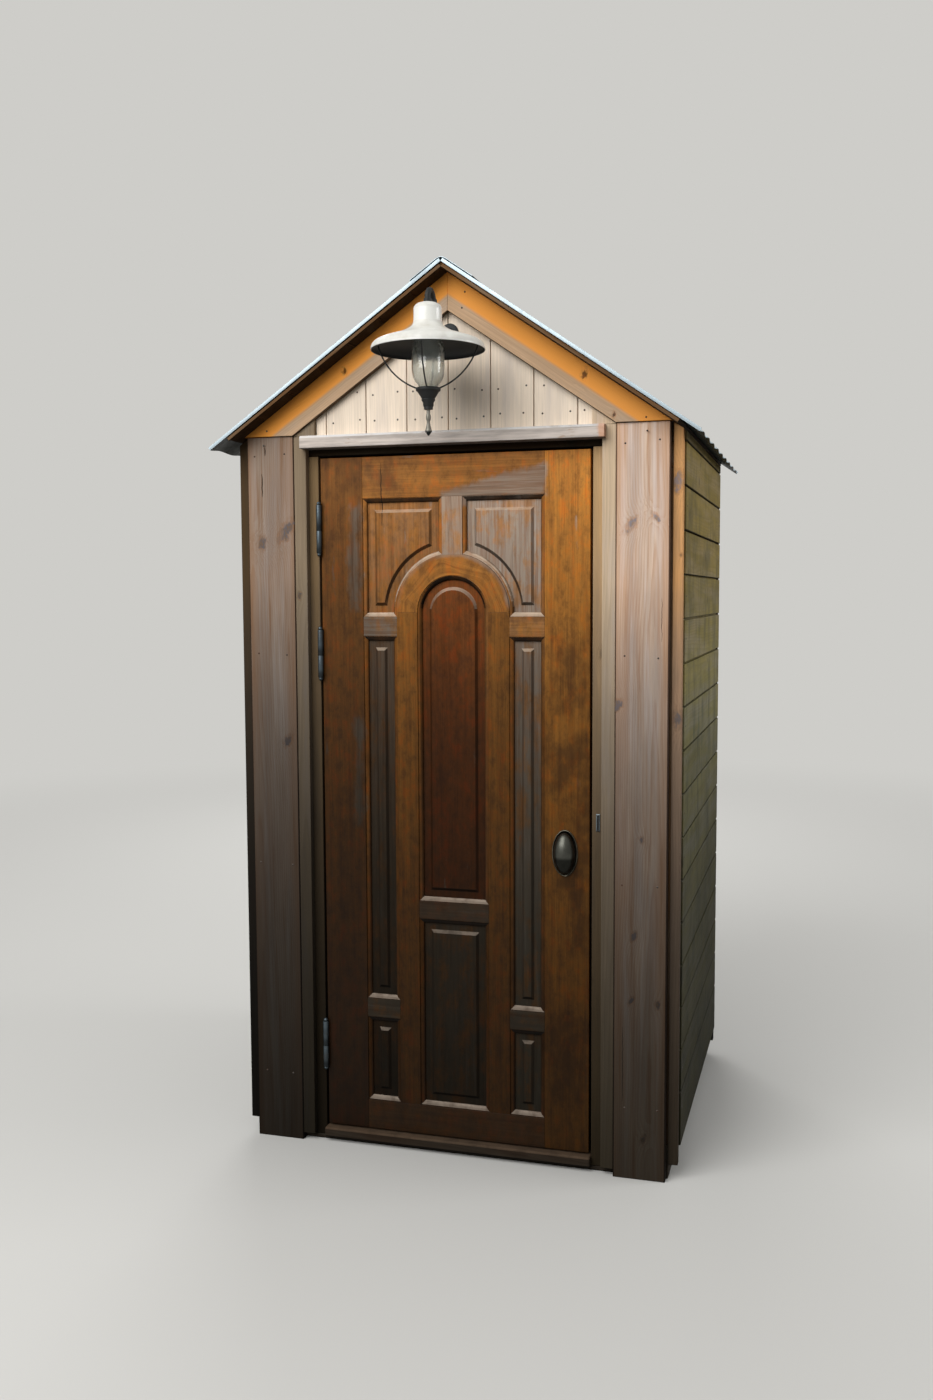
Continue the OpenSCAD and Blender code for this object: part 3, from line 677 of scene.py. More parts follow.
def shared_group(title, inputs, outputs):
    """Turns a function that wires up a pattern into a node group that is built once."""
    def keep(wire_up):
        def built():
            if title not in bpy.data.node_groups:
                tree = bpy.data.node_groups.new(title, "ShaderNodeTree")
                for way, sockets in (("INPUT", inputs), ("OUTPUT", outputs)):
                    for name, kind in sockets.items():
                        tree.interface.new_socket(name=name, in_out=way, socket_type=kind)
                wires = Wires(tree)
                source, result = wires.add("NodeGroupInput"), wires.add("NodeGroupOutput")
                wires.fill(result, wire_up(wires, source.outputs))
            return bpy.data.node_groups[title]
        return built
    return keep


@shared_group("Wood Grain", {"Grain": VECTOR, "Tone": FLOAT, "Ring Width": FLOAT, "Bend": FLOAT},
              {"Rings": FLOAT, "Fibre": FLOAT, "Broad": FLOAT})
def wood_grain(w, into):
    """Growth rings round a wandering pith behind the board, with long fibres over them."""
    across, deep, along = w.parts(into["Grain"])
    drift = w.times(w.less(w.noise(into["Grain"], (2.0, 2.0, 0.7), 2.0), 0.5), 0.09)
    pith = w.times(w.less(w.math("FRACT", w.times(into["Tone"], 7.3)), 0.5), 0.13)
    sideways = w.sum(across, drift, pith)
    depth = w.sum(deep, 0.045)
    radius = w.math("SQRT", w.sum(w.times(sideways, sideways), w.times(depth, depth)))
    waver = w.times(w.less(w.noise(into["Grain"], (9.0, 9.0, 2.2), 3.0), 0.5), 0.010)
    turns = w.math("DIVIDE", w.sum(radius, waver, w.times(along, 0.012), into["Bend"]),
                   into["Ring Width"])
    saw = w.math("FRACT", turns)
    rings = w.times(w.math("POWER", saw, 2.2), w.ease(saw, 1.0, 0.86))
    fine = w.noise(into["Grain"], (850.0, 850.0, 13.0), 2.0)
    streaks = w.noise(into["Grain"], (170.0, 170.0, 3.2), 4.0)
    return {"Rings": rings, "Fibre": w.sum(w.times(fine, 0.45), w.times(streaks, 0.55)),
            "Broad": w.noise(into["Grain"], (17.0, 17.0, 1.5), 4.0)}


def knot_masks(w, distance, radius):
    """Core, rim and bend of a knot, from the distance to its middle."""
    share = w.math("DIVIDE", distance, radius)
    core = w.ease(share, 1.1, 0.5)
    rim = w.times(w.ease(share, 0.55, 0.95), w.ease(share, 1.75, 1.05))
    swell = w.math("EXPONENT", w.times(w.math("POWER", w.times(share, 0.38), 2.0), -1.0))
    return {"Core": core, "Rim": rim, "Bend": w.times(swell, radius, 1.3)}


@shared_group("Random Knots", {"Grain": VECTOR, "Spacing": FLOAT},
              {"Core": FLOAT, "Rim": FLOAT, "Bend": FLOAT})
def random_knots(w, into):
    """Knots scattered along a board, some of them missing and each with its own size."""
    across, _, along = w.parts(into["Grain"])
    spread = w.point(w.math("DIVIDE", across, into["Spacing"]),
                     w.math("DIVIDE", w.times(along, 0.8), into["Spacing"]), 0.0)
    cells = w.add("ShaderNodeTexVoronoi", {"Vector": spread, "Scale": 1.0}, feature="F1",
                  voronoi_dimensions="2D").outputs
    size, presence, _ = w.parts(cells["Color"])
    radius = w.sum(w.times(size, 0.010), 0.004)
    absent = w.times(w.math("LESS_THAN", presence, 0.35), 10.0)
    return knot_masks(w, w.sum(w.times(cells["Distance"], into["Spacing"]), absent), radius)


@shared_group("Placed Knot", {"Place": VECTOR, "X": FLOAT, "Z": FLOAT, "Radius": FLOAT,
                              "Lean": FLOAT}, {"Core": FLOAT, "Rim": FLOAT, "Bend": FLOAT})
def placed_knot(w, into):
    """One ragged knot at a chosen place on a front board."""
    x, _, z = w.parts(into["Place"])
    ripple = w.times(w.less(w.noise(into["Place"], (95.0, 95.0, 60.0), 3.0), 0.5), into["Radius"], 2.4)
    above = w.less(z, into["Z"])
    aside = w.less(w.less(x, into["X"]), w.times(above, into["Lean"]))
    offset = w.point(aside, w.times(above, 0.62), 0.0)
    return knot_masks(w, w.sum(w.vector("LENGTH", offset, output=1), ripple), into["Radius"])


@shared_group("Foot Damp And Shade", {"Place": VECTOR, "Top": FLOAT, "Reach": FLOAT}, {"Mask": FLOAT})
def foot_damp_and_shade(w, into):
    """Damp and dirt that climb from the ground, together with painted shade, and thin out with height.
    """
    _, _, z = w.parts(into["Place"])
    ragged = w.times(w.less(w.noise(into["Place"], (9.0, 9.0, 2.0), 4.0), 0.5), 0.35)
    depth = w.math("DIVIDE", w.less(w.sum(z, ragged), into["Top"]), into["Reach"])
    return {"Mask": w.less(1.0, w.math("EXPONENT", w.math("MINIMUM", depth, 0.0)))}


@shared_group("Weather And Light Sides", {"Normal": VECTOR, "Place": VECTOR}, {"Top": FLOAT, "Under": FLOAT})
def weather_and_light_sides(w, into):
    """Surfaces that look up, which hold the rain and take a painted highlight, and those that look
    down, which hold the dirt and take painted shade.
    """
    _, _, up = w.parts(into["Normal"])
    broken = w.noise(into["Place"], (35.0, 35.0, 35.0), 3.0)
    return {"Top": w.times(w.ease(up, 0.04, 0.20), w.ease(broken, 0.25, 0.60, 0.45, 1.0)),
            "Under": w.times(w.ease(up, -0.03, -0.14), w.ease(broken, 0.65, 0.3, 0.9, 1.0))}


@shared_group("Patch", {"Place": VECTOR, "X": FLOAT, "Z": FLOAT, "Half Width": FLOAT,
                        "Half Height": FLOAT, "Lean": FLOAT, "Soft": FLOAT, "Wander": FLOAT},
              {"Mask": FLOAT})
def patch(w, into):
    """A worn patch with a wandering edge, leaning with its place across."""
    x, _, z = w.parts(into["Place"])
    aside = w.less(x, into["X"])
    above = w.less(w.less(z, into["Z"]), w.times(aside, into["Lean"]))
    far_x = w.less(w.math("ABSOLUTE", aside), into["Half Width"])
    far_z = w.less(w.math("ABSOLUTE", above), into["Half Height"])
    outside = w.vector("LENGTH", w.point(w.most(far_x, 0.0), w.most(far_z, 0.0), 0.0), output=1)
    inside = w.math("MINIMUM", w.most(far_x, far_z), 0.0)
    edge = w.sum(outside, inside, w.times(into["Wander"], w.times(into["Soft"], 5.0)))
    return {"Mask": w.ease(w.math("DIVIDE", edge, into["Soft"]), 1.0, -1.0)}


@shared_group("Crack", {"Place": VECTOR, "X": FLOAT, "Low": FLOAT, "High": FLOAT, "Width": FLOAT},
              {"Mask": FLOAT})
def crack(w, into):
    """A drying crack along the grain, widest in its middle."""
    x, _, z = w.parts(into["Place"])
    waver = w.times(w.less(w.noise(into["Place"], (0.0, 0.0, 38.0), 3.0), 0.5), 0.008)
    share = w.math("DIVIDE", w.less(z, into["Low"]), w.less(into["High"], into["Low"]))
    taper = w.times(w.math("SQRT", w.times(w.most(share, 0.0), w.most(w.less(1.0, share), 0.0))), 2.0)
    width = w.sum(w.times(into["Width"], taper), 0.00001)
    away = w.math("ABSOLUTE", w.sum(w.less(x, into["X"]), waver))
    return {"Mask": w.times(w.ease(w.math("DIVIDE", away, width), 1.0, 0.6),
                            w.math("GREATER_THAN", taper, 0.02))}


@shared_group("Grime", {"Place": VECTOR, "Scale": FLOAT}, {"Spots": FLOAT, "Clouds": FLOAT})
def grime(w, into):
    """Spots and soft clouds of dirt, rust or wear."""
    spread = w.vector("SCALE", into["Place"])
    w.set(spread.node.inputs["Scale"], into["Scale"])
    return {"Spots": w.noise(spread, (90.0, 90.0, 90.0), 5.0, 0.65),
            "Clouds": w.noise(spread, (11.0, 11.0, 11.0), 4.0, 0.6)}


# Finishes


def new_finish(title):
    """An empty material with its wires and its main shader."""
    material = bpy.data.materials.new(title)
    material.use_nodes = True
    return material, Wires(material.node_tree), material.node_tree.nodes["Principled BSDF"]


def raise_bumps(w, shader, height, distance, strength=0.6):
    """Lets a height pattern stand out from the surface by up to a distance."""
    bump = w.add("ShaderNodeBump", {"Strength": strength, "Distance": distance, "Height": height})
    w.set(shader.inputs["Normal"], bump.outputs[0])


def darker(colour, share):
    """A colour at a share of its brightness."""
    return tuple(value * share for value in colour[:3]) + (1.0,)


def sides_of(w, place):
    """Masks of what looks up and what looks down, on the surface of a finish."""
    return w.group(weather_and_light_sides, {"Normal": w.place("Normal"), "Place": place})


# What damp, dirt and painted shade leave of a colour: damp and painted shade near the ground, painted
# shade on a piece set in shade, and dirt and painted shade on undersides
DAMP_AND_SHADE_DARK = srgb(38, 38, 30)
SHADE_DARK = srgb(98, 97, 90)
UNDER_DARK = srgb(54, 47, 38)
DAMP_GREY = srgb(128, 128, 124)
# Colours in the heart of a ragged knot, and round it
KNOT_HEART = (srgb(128, 127, 136), srgb(150, 124, 102))
FRESH_HEART = (srgb(46, 20, 8), srgb(96, 44, 14))
KNOT_HALO = srgb(196, 132, 78)


def bare_wood(title, pale, line, grey, greying=0.35, ring_width=0.0065, ring_strength=0.55,
              knot_spacing=0.34, damp_shade_top=1.7, damp_shade_reach=0.50, damp_grey=0.15, knots=(),
              hearts=KNOT_HEART, cracks=(), streaks=None, extra=None):
    """Softwood that has stood outside: rings, fibres, knots, grey patches, and a foot darkened by damp
    and painted shade.

    Knots and cracks are those at chosen places, and extra is a function that adds what one
    kind of board has of its own."""
    material, w, shader = new_finish(title)
    grain, tone, place = w.attribute("grain", "Vector"), w.attribute("tone"), w.place()
    scattered = w.group(random_knots, {"Grain": grain, "Spacing": knot_spacing})
    core, rim, bend = scattered["Core"], scattered["Rim"], scattered["Bend"]
    ragged = w.noise(place, (170.0, 170.0, 95.0), 4.0)
    marked = 0.0
    for x, z, radius, lean in knots:
        knot = w.group(placed_knot, {"Place": place, "X": x, "Z": z, "Radius": radius, "Lean": lean})
        marked, rim = w.most(marked, knot["Core"]), w.most(rim, knot["Rim"])
        bend = w.sum(bend, knot["Bend"])
    wood = w.group(wood_grain, {"Grain": grain, "Tone": tone, "Ring Width": ring_width, "Bend": bend})
    colour = w.mix(w.times(wood["Rings"], ring_strength), pale, line)
    colour = w.mix(w.ease(wood["Broad"], 0.42, 0.68, 0.0, 0.5), colour, line)
    colour = w.mix(w.ease(wood["Fibre"], 0.35, 0.62, 0.28, 0.0), colour, darker(line, 0.62))
    weathered = w.noise(grain, (22.0, 22.0, 2.4), 5.0, 0.6)
    greyed = w.most(w.ease(w.sum(weathered, greying), 0.66, 1.0), w.attribute("worn"))
    colour = w.mix(w.times(greyed, 0.8), colour, w.mix(w.times(wood["Rings"], 0.5), grey, line))
    if streaks:
        run = w.noise(place, (13.0, 13.0, 7.0), 6.0, 0.62)
        colour = w.mix(w.ease(run, 0.42, 0.70, 0.0, 0.60), colour, streaks)
    colour = w.mix(w.times(rim, w.ease(ragged, 0.35, 0.62), 0.32), colour, darker(line, 0.42))
    colour = w.mix(w.times(core, 0.62), colour, darker(grey, 0.34))
    if extra:
        colour = extra(w, colour, grain, place)
    if knots:
        colour = w.mix(w.times(rim, w.ease(ragged, 0.60, 0.42), 0.38), colour, KNOT_HALO)
        heart = w.mix(w.ease(ragged, 0.46, 0.60), *hearts)
        colour = w.mix(w.times(marked, 0.85), colour, heart)
    for x, low, high, width in cracks:
        gap = w.group(crack, {"Place": place, "X": x, "Low": low, "High": high, "Width": width})
        colour = w.mix(gap["Mask"], colour, darker(line, 0.05))
    colour = w.mix(w.ease(tone, 0.0, 1.0, 0.16, 0.0), colour, darker(line, 0.6))
    # Painted shade: dark darkens a piece that is set in shade
    colour = w.mix(w.attribute("dark"), colour, SHADE_DARK, "MULTIPLY")
    # Darker towards the ground, for damp and for painted shade
    damp = w.group(foot_damp_and_shade, {"Place": place, "Top": damp_shade_top, "Reach": damp_shade_reach})["Mask"]
    colour = w.mix(w.times(damp, damp_grey), colour, DAMP_GREY, "SATURATION")
    colour = w.mix(damp, colour, DAMP_AND_SHADE_DARK, "MULTIPLY")
    # Undersides darkened, for dirt and for painted shade
    colour = w.mix(w.times(sides_of(w, place)["Under"], 0.9), colour, UNDER_DARK, "MULTIPLY")
    w.fill(shader, {"Base Color": colour, "Specular IOR Level": 0.07,
                    "Roughness": w.ease(wood["Fibre"], 0.3, 0.7, 0.72, 0.9)})
    height = w.sum(w.times(wood["Rings"], 0.5), w.times(wood["Fibre"], 0.9), w.times(rim, -0.5))
    raise_bumps(w, shader, height, 0.0009)
    return material


# Where the bare wood of the door turns grey and the stain of its panels darkens, downwards
GREY_FROM, GREY_BELOW = 1.7, 0.7
DARK_FROM, DARK_BELOW = 1.62, 1.15
# Dust and painted highlight on the mouldings, high on the door and low, and dirt and painted shade on
# their flanks and undersides
DUST_AND_HIGHLIGHT_HIGH, DUST_AND_HIGHLIGHT_LOW = srgb(202, 182, 160), srgb(150, 136, 122)
FLANK_DIRT_AND_SHADE, UNDER_DIRT_AND_SHADE = srgb(20, 14, 10), srgb(10, 8, 6)
# The glow of thick varnish, a crack's inside, and bare wood: low down, bleached and soiled
VARNISH_GLOW = srgb(255, 190, 80)
CRACK_DARK = srgb(14, 10, 7)
BARE_LOW, BARE_PALE, BARE_BROWN = srgb(136, 130, 116), srgb(206, 196, 188), srgb(92, 70, 50)
# Worn patches of the door: place across, height, half width, half height, lean, softness
WORN_PATCHES = (
    (0.115, 1.950, 0.150, 0.030, 0.235, 0.010),
    (0.215, 1.962, 0.058, 0.040, 0.150, 0.010),
    (-0.297, 1.760, 0.014, 0.150, 0.0, 0.016),
    (-0.290, 1.130, 0.008, 0.160, 0.0, 0.016),
)
# Dark stains of the lock stile, in the same order. The one high on the left, on the top rail, is partly
# stain and partly painted shade under the drip board
STAIN_PATCHES = (
    (0.372, 0.760, 0.022, 0.120, 0.0, 0.030),
    (0.345, 1.180, 0.050, 0.060, 0.3, 0.040),
    (0.345, 1.420, 0.030, 0.090, -0.2, 0.050),
    (0.330, 0.330, 0.050, 0.130, 0.0, 0.060),
    (-0.230, 2.000, 0.060, 0.040, 0.0, 0.050),
    (0.385, 1.000, 0.022, 0.110, 0.0, 0.040),
    (0.330, 0.850, 0.020, 0.030, 0.0, 0.030),
)
ARCH_PLACE = (0.0, 0.0, 1.601)
ARCH_EDGE = 0.168
DOOR_CRACK = (-0.213, 1.850, 2.032, 0.0016)


def patches(w, place, places, wander):
    masks = [w.group(patch, {"Place": place, "X": x, "Z": z, "Half Width": half_w, "Soft": soft,
                             "Half Height": half_h, "Lean": lean, "Wander": wander})["Mask"]
             for x, z, half_w, half_h, lean, soft in places]
    return w.most(*masks)


def arch_edge_worn(w, place, wander):
    """Wear along the outer edge of the arch, stronger towards the lock."""
    x, _, z = w.parts(w.vector("SUBTRACT", place, ARCH_PLACE))
    radius = w.vector("LENGTH", w.point(x, 0.0, z), output=1)
    return w.times(w.ease(w.sum(radius, w.times(wander, 0.02)), ARCH_EDGE - 0.014, ARCH_EDGE + 0.001),
                   w.ease(radius, ARCH_EDGE + 0.004, ARCH_EDGE + 0.002), w.ease(z, 0.0, 0.03),
                   w.ease(x, -0.16, 0.06, 0.25, 0.9))


def varnished_wood(title, tint, dust_and_highlight=0.0, dirt_and_shade=0.0):
    """Golden varnish that has darkened, stained and worn through to grey wood, with painted shade low
    down.

    Mouldings and panels have pale dust and painted highlight on what looks up, and dirt and painted
    shade on what looks down or aside.
    The true normal keeps the dust off upright faces, and the door only turns about an upright axis."""
    material, w, shader = new_finish(title)
    grain, tone, place = w.attribute("grain", "Vector"), w.attribute("tone"), w.place()
    worn_by_hand, stain = w.attribute("worn"), w.attribute("stain")
    wood = w.group(wood_grain, {"Grain": grain, "Tone": tone, "Ring Width": 0.005, "Bend": 0.0})
    _, _, z = w.parts(place)
    low_down = w.ease(z, GREY_FROM, GREY_BELOW)
    streaks = w.noise(grain, (75.0, 75.0, 4.0), 5.0, 0.6)
    colour = w.mix(w.times(wood["Rings"], 0.20), tint.varnish_gold, tint.varnish_brown)
    colour = w.mix(w.ease(streaks, 0.42, 0.70, 0.0, 0.42), colour, tint.varnish_brown)
    colour = w.mix(w.times(stain, 0.9), colour, tint.varnish_red)
    colour = w.mix(w.times(stain, w.ease(z, DARK_FROM, DARK_BELOW), 0.45), colour, tint.varnish_dark)
    wander = w.less(w.noise(place, (24.0, 24.0, 14.0), 5.0, 0.65), 0.5)
    mottle = w.noise(place, (33.0, 33.0, 20.0), 7.0, 0.68)
    colour = w.mix(w.ease(mottle, 0.50, 0.34, 0.0, 0.4), colour, VARNISH_GLOW, "OVERLAY")
    specks = w.noise(place, (150.0, 150.0, 90.0), 4.0, 0.7)
    blotches = w.sum(w.times(w.ease(mottle, 0.47, 0.66), 0.38),
                     w.times(w.ease(specks, 0.52, 0.70), 0.13))
    dark_places = patches(w, place, STAIN_PATCHES, wander)
    colour = w.mix(w.most(blotches, w.times(dark_places, 0.6)), colour, tint.varnish_dark)
    colour = w.mix(w.ease(wood["Fibre"], 0.36, 0.60, 0.30, 0.0), colour, tint.varnish_dark)

    clouds = w.noise(grain, (30.0, 30.0, 4.5), 6.0, 0.66)
    thinned = w.sum(w.times(clouds, 0.4), w.times(wander, 0.6), 0.3)
    thin = w.times(worn_by_hand, w.ease(thinned, 0.38, 0.54, 0.35, 1.0))
    flaked = w.times(w.ease(w.sum(clouds, w.times(worn_by_hand, 0.20)), 0.66, 0.76), 0.8)
    true_normal = w.add("ShaderNodeNewGeometry").outputs["True Normal"]
    sides = w.group(weather_and_light_sides, {"Normal": true_normal, "Place": place})
    worn = w.most(patches(w, place, WORN_PATCHES, wander), arch_edge_worn(w, place, wander),
                  thin, flaked)
    bare = w.mix(w.ease(wood["Fibre"], 0.38, 0.60, 0.5, 0.0), tint.worn_wood,
                 darker(tint.varnish_brown, 0.9))
    bare = w.mix(w.times(low_down, 0.75), bare, BARE_LOW)
    bare = w.mix(w.ease(streaks, 0.46, 0.30, 0.0, 0.35), bare, BARE_PALE)
    bare = w.mix(w.ease(streaks, 0.54, 0.68, 0.0, 0.32), bare, BARE_BROWN)
    colour = w.mix(w.times(worn, 0.88), colour, bare)
    split_x, split_low, split_high, split_width = DOOR_CRACK
    gap = w.group(crack, {"Place": place, "X": split_x, "Low": split_low, "High": split_high,
                          "Width": split_width})["Mask"]
    colour = w.mix(gap, colour, CRACK_DARK)
    # Painted shade: dark darkens a piece that is set in shade
    colour = w.mix(w.attribute("dark"), colour, SHADE_DARK, "MULTIPLY")
    # Darker towards the ground, for damp and for painted shade
    damp = w.group(foot_damp_and_shade, {"Place": place, "Top": 1.98, "Reach": 0.60})["Mask"]
    colour = w.mix(damp, colour, DAMP_AND_SHADE_DARK, "MULTIPLY")
    if dust_and_highlight:
        # Dust and painted highlight on what looks up, dirt and painted shade on flanks and undersides
        colour = w.mix(w.times(sides["Top"], dust_and_highlight), colour, w.mix(low_down, DUST_AND_HIGHLIGHT_HIGH, DUST_AND_HIGHLIGHT_LOW))
        aside = w.math("ABSOLUTE", w.parts(w.place("Normal"))[0])
        colour = w.mix(w.times(w.ease(aside, 0.10, 0.45), dirt_and_shade, 0.5), colour, FLANK_DIRT_AND_SHADE)
        colour = w.mix(w.times(sides["Under"], dirt_and_shade), colour, UNDER_DIRT_AND_SHADE)
    w.fill(shader, {"Base Color": colour, "Specular IOR Level": 0.06 if dirt_and_shade else 0.10,
                    "Roughness": w.sum(0.46, w.times(worn, 0.34), w.times(blotches, 0.15)),
                    "Coat Weight": w.times(w.less(1.0, worn), 0.04), "Coat Roughness": 0.25})
    height = w.sum(w.times(wood["Fibre"], 0.6), w.times(worn, -0.35), w.times(gap, -2.0),
                   w.times(wood["Rings"], 0.15))
    raise_bumps(w, shader, height, 0.0006, 0.5)
    return material


def metal(title, colour, rust, metallic, roughness, rusted, scale=1.0):
    """Painted, zinced or bare metal with clouds of tarnish, spots of rust, and undersides darkened for
    dirt and for painted shade.
    """
    material, w, shader = new_finish(title)
    place = w.place()
    dirt = w.group(grime, {"Place": place, "Scale": scale})
    low, high = 0.74 - rusted * 0.4, 0.86 - rusted * 0.4
    rusty = w.ease(w.sum(w.times(dirt["Spots"], 0.6), w.times(dirt["Clouds"], 0.5)), low, high)
    tarnish = w.mix(w.ease(dirt["Clouds"], 0.35, 0.65, 0.0, 0.6), colour, darker(colour, 0.4))
    # Undersides darkened, for dirt and for painted shade
    tarnish = w.mix(w.times(sides_of(w, place)["Under"], 0.85), tarnish, darker(colour, 0.12))
    rough = w.sum(roughness, w.times(rusty, 0.35), w.times(dirt["Clouds"], 0.12))
    w.fill(shader, {"Base Color": w.mix(rusty, tarnish, rust), "Roughness": rough,
                    "Metallic": w.times(w.less(1.0, rusty), metallic)})
    raise_bumps(w, shader, w.sum(dirt["Spots"], w.times(rusty, 0.5)), 0.0003, 0.4)
    return material


# Rain streaks and leaf dirt of the roof sheets, painted shade on their undersides, and a painted
# highlight on their edges
RAIN_STREAK, LEAF_DIRT = srgb(120, 116, 102), srgb(92, 78, 56)
SHEET_UNDER_SHADE, SHEET_EDGE_HIGHLIGHT = srgb(16, 16, 15), srgb(196, 212, 220)


def zinc_sheet(title, tint):
    """Zinc-coated sheet with its crystals, rain streaks and leaf dirt in the troughs, painted shade
    under it and a painted highlight on its edges.
    """
    material, w, shader = new_finish(title)
    place = w.place()
    crystals = w.add("ShaderNodeTexVoronoi", {"Vector": place, "Scale": 70.0}).outputs["Color"]
    facet = w.parts(crystals)[0]
    runs = w.noise(place, (1.6, 30.0, 1.6), 5.0, 0.6)
    colour = w.mix(w.ease(facet, 0.0, 1.0, 0.0, 0.22), tint.sheet_grey, darker(tint.sheet_grey, 0.6))
    colour = w.mix(w.ease(runs, 0.48, 0.78, 0.0, 0.55), colour, RAIN_STREAK)
    leaf_dirt = w.ease(w.noise(place, (7.0, 9.0, 7.0), 6.0, 0.7), 0.58, 0.74)
    colour = w.mix(w.times(leaf_dirt, 0.6), colour, LEAF_DIRT)
    # Painted shade on the undersides
    under = sides_of(w, place)["Under"]
    colour = w.mix(under, colour, SHEET_UNDER_SHADE)
    # Painted highlight on the faces that look along the roof, at the verges
    forward = w.math("ABSOLUTE", w.parts(w.place("Normal"))[1])
    colour = w.mix(w.ease(forward, 0.80, 0.95, 0.0, 0.85), colour, SHEET_EDGE_HIGHLIGHT)
    w.fill(shader, {"Base Color": colour,
                    "Metallic": w.times(w.less(1.0, w.most(leaf_dirt, under)), 0.30),
                    "Roughness": w.sum(0.50, w.times(facet, 0.12), w.times(leaf_dirt, 0.3))})
    raise_bumps(w, shader, w.sum(w.times(facet, 0.1), leaf_dirt), 0.0003, 0.15)
    return material


# Stains and dust on the enamel
ENAMEL_STAIN, ENAMEL_DUST = srgb(168, 160, 140), srgb(120, 106, 80)


def enamel(title, tint):
    """White enamel, chipped to dark iron, with dust on what looks up."""
    material, w, shader = new_finish(title)
    place = w.place()
    dirt = w.group(grime, {"Place": place, "Scale": 1.6})
    dust = sides_of(w, place)["Top"]
    chips = w.ease(dirt["Spots"], 0.70, 0.74)
    colour = w.mix(w.ease(dirt["Clouds"], 0.45, 0.75, 0.0, 0.35), tint.enamel_white, ENAMEL_STAIN)
    colour = w.mix(w.times(dust, 0.22), colour, ENAMEL_DUST)
    colour = w.mix(chips, colour, tint.iron_dark)
    w.fill(shader, {"Base Color": colour,
                    "Roughness": w.sum(0.22, w.times(dust, 0.25), w.times(chips, 0.4))})
    raise_bumps(w, shader, w.sum(w.times(chips, -1.0), w.times(dirt["Clouds"], 0.2)), 0.0004, 0.5)
    return material


CLEAN_GLASS, DUSTY_GLASS = (0.86, 0.89, 0.87, 1), (0.52, 0.50, 0.42, 1)


def lamp_glass(title):
    """Clear glass with a film of dust."""
    material, w, shader = new_finish(title)
    dirt = w.group(grime, {"Place": w.place(), "Scale": 1.4})
    dust = w.ease(dirt["Clouds"], 0.4, 0.8, 0.0, 0.5)
    w.fill(shader, {"Base Color": w.mix(dust, CLEAN_GLASS, DUSTY_GLASS),
                    "Roughness": w.ease(dirt["Clouds"], 0.3, 0.8, 0.05, 0.35),
                    "Transmission Weight": 0.92, "IOR": 1.46})
    return material


# The drip board where it is washed pale with a painted highlight, flaked, bare at one end, and beneath,
# where dirt and painted shade lie
DRIP_WASHED_AND_LIT, DRIP_FLAKED = srgb(216, 216, 216), srgb(164, 134, 108)
DRIP_BARE, DRIP_UNDER_DIRT_AND_SHADE = srgb(206, 148, 108), srgb(16, 13, 10)


def drip_board_finish(title, tint):
    """Thin weathered paint over wood, gone at one end."""
    material, w, shader = new_finish(title)
    place, grain = w.place(), w.attribute("grain", "Vector")
    runs = w.noise(place, (5.0, 60.0, 60.0), 5.0, 0.62)
    sides = sides_of(w, place)
    colour = w.mix(w.ease(runs, 0.36, 0.66), tint.drip_grey, darker(tint.drip_grey, 0.62))
    # Washed pale on top, with a painted highlight
    colour = w.mix(w.times(sides["Top"], 0.7), colour, DRIP_WASHED_AND_LIT)
    flaked = w.ease(w.noise(grain, (60.0, 60.0, 14.0), 6.0, 0.68), 0.60, 0.68)
    colour = w.mix(w.times(flaked, 0.7), colour, DRIP_FLAKED)
    wander = w.less(w.noise(place, (40.0, 40.0, 40.0), 4.0), 0.5)
    bare = w.group(patch, {"Place": place, "X": 0.440, "Z": 2.094, "Half Width": 0.012,
                           "Half Height": 0.030, "Soft": 0.006, "Wander": wander})["Mask"]
    colour = w.mix(w.times(bare, 0.7), colour, DRIP_BARE)
    # Darkened underneath, for dirt and for painted shade
    colour = w.mix(w.times(sides["Under"], 0.92), colour, DRIP_UNDER_DIRT_AND_SHADE)
    w.fill(shader, {"Base Color": colour, "Roughness": w.ease(runs, 0.3, 0.7, 0.55, 0.8)})
    raise_bumps(w, shader, w.sum(runs, w.times(flaked, -0.6)), 0.0006)
    return material


def barge_finish(title, tint):
    """Pine that stayed fresh close under the roof and faded along its lower edge."""
    def sheltered(w, colour, grain, place):
        wander = w.times(w.less(w.noise(grain, (14.0, 14.0, 2.0), 3.0), 0.5), 0.010)
        inward = w.sum(w.parts(grain)[0], wander)
        fresh = w.ease(inward, -BARGE_SHELTER - 0.006, -BARGE_SHELTER + 0.006)
        return w.mix(w.times(fresh, 0.91), colour, tint.barge_fresh)
    return bare_wood(title, tint.barge_tan, darker(tint.barge_tan, 0.68), grey=srgb(188, 172, 156),
                     greying=0.18, knot_spacing=0.9, knots=BARGE_KNOTS, hearts=FRESH_HEART,
                     extra=sheltered)


# The wide boards' pale and brown runs, the warmth towards their edges and the dirt in their joints
RUN_PALE, RUN_BROWN = srgb(236, 222, 214), srgb(178, 130, 90)
EDGE_WARM, JOINT_DIRT = srgb(218, 164, 118), srgb(46, 32, 22)


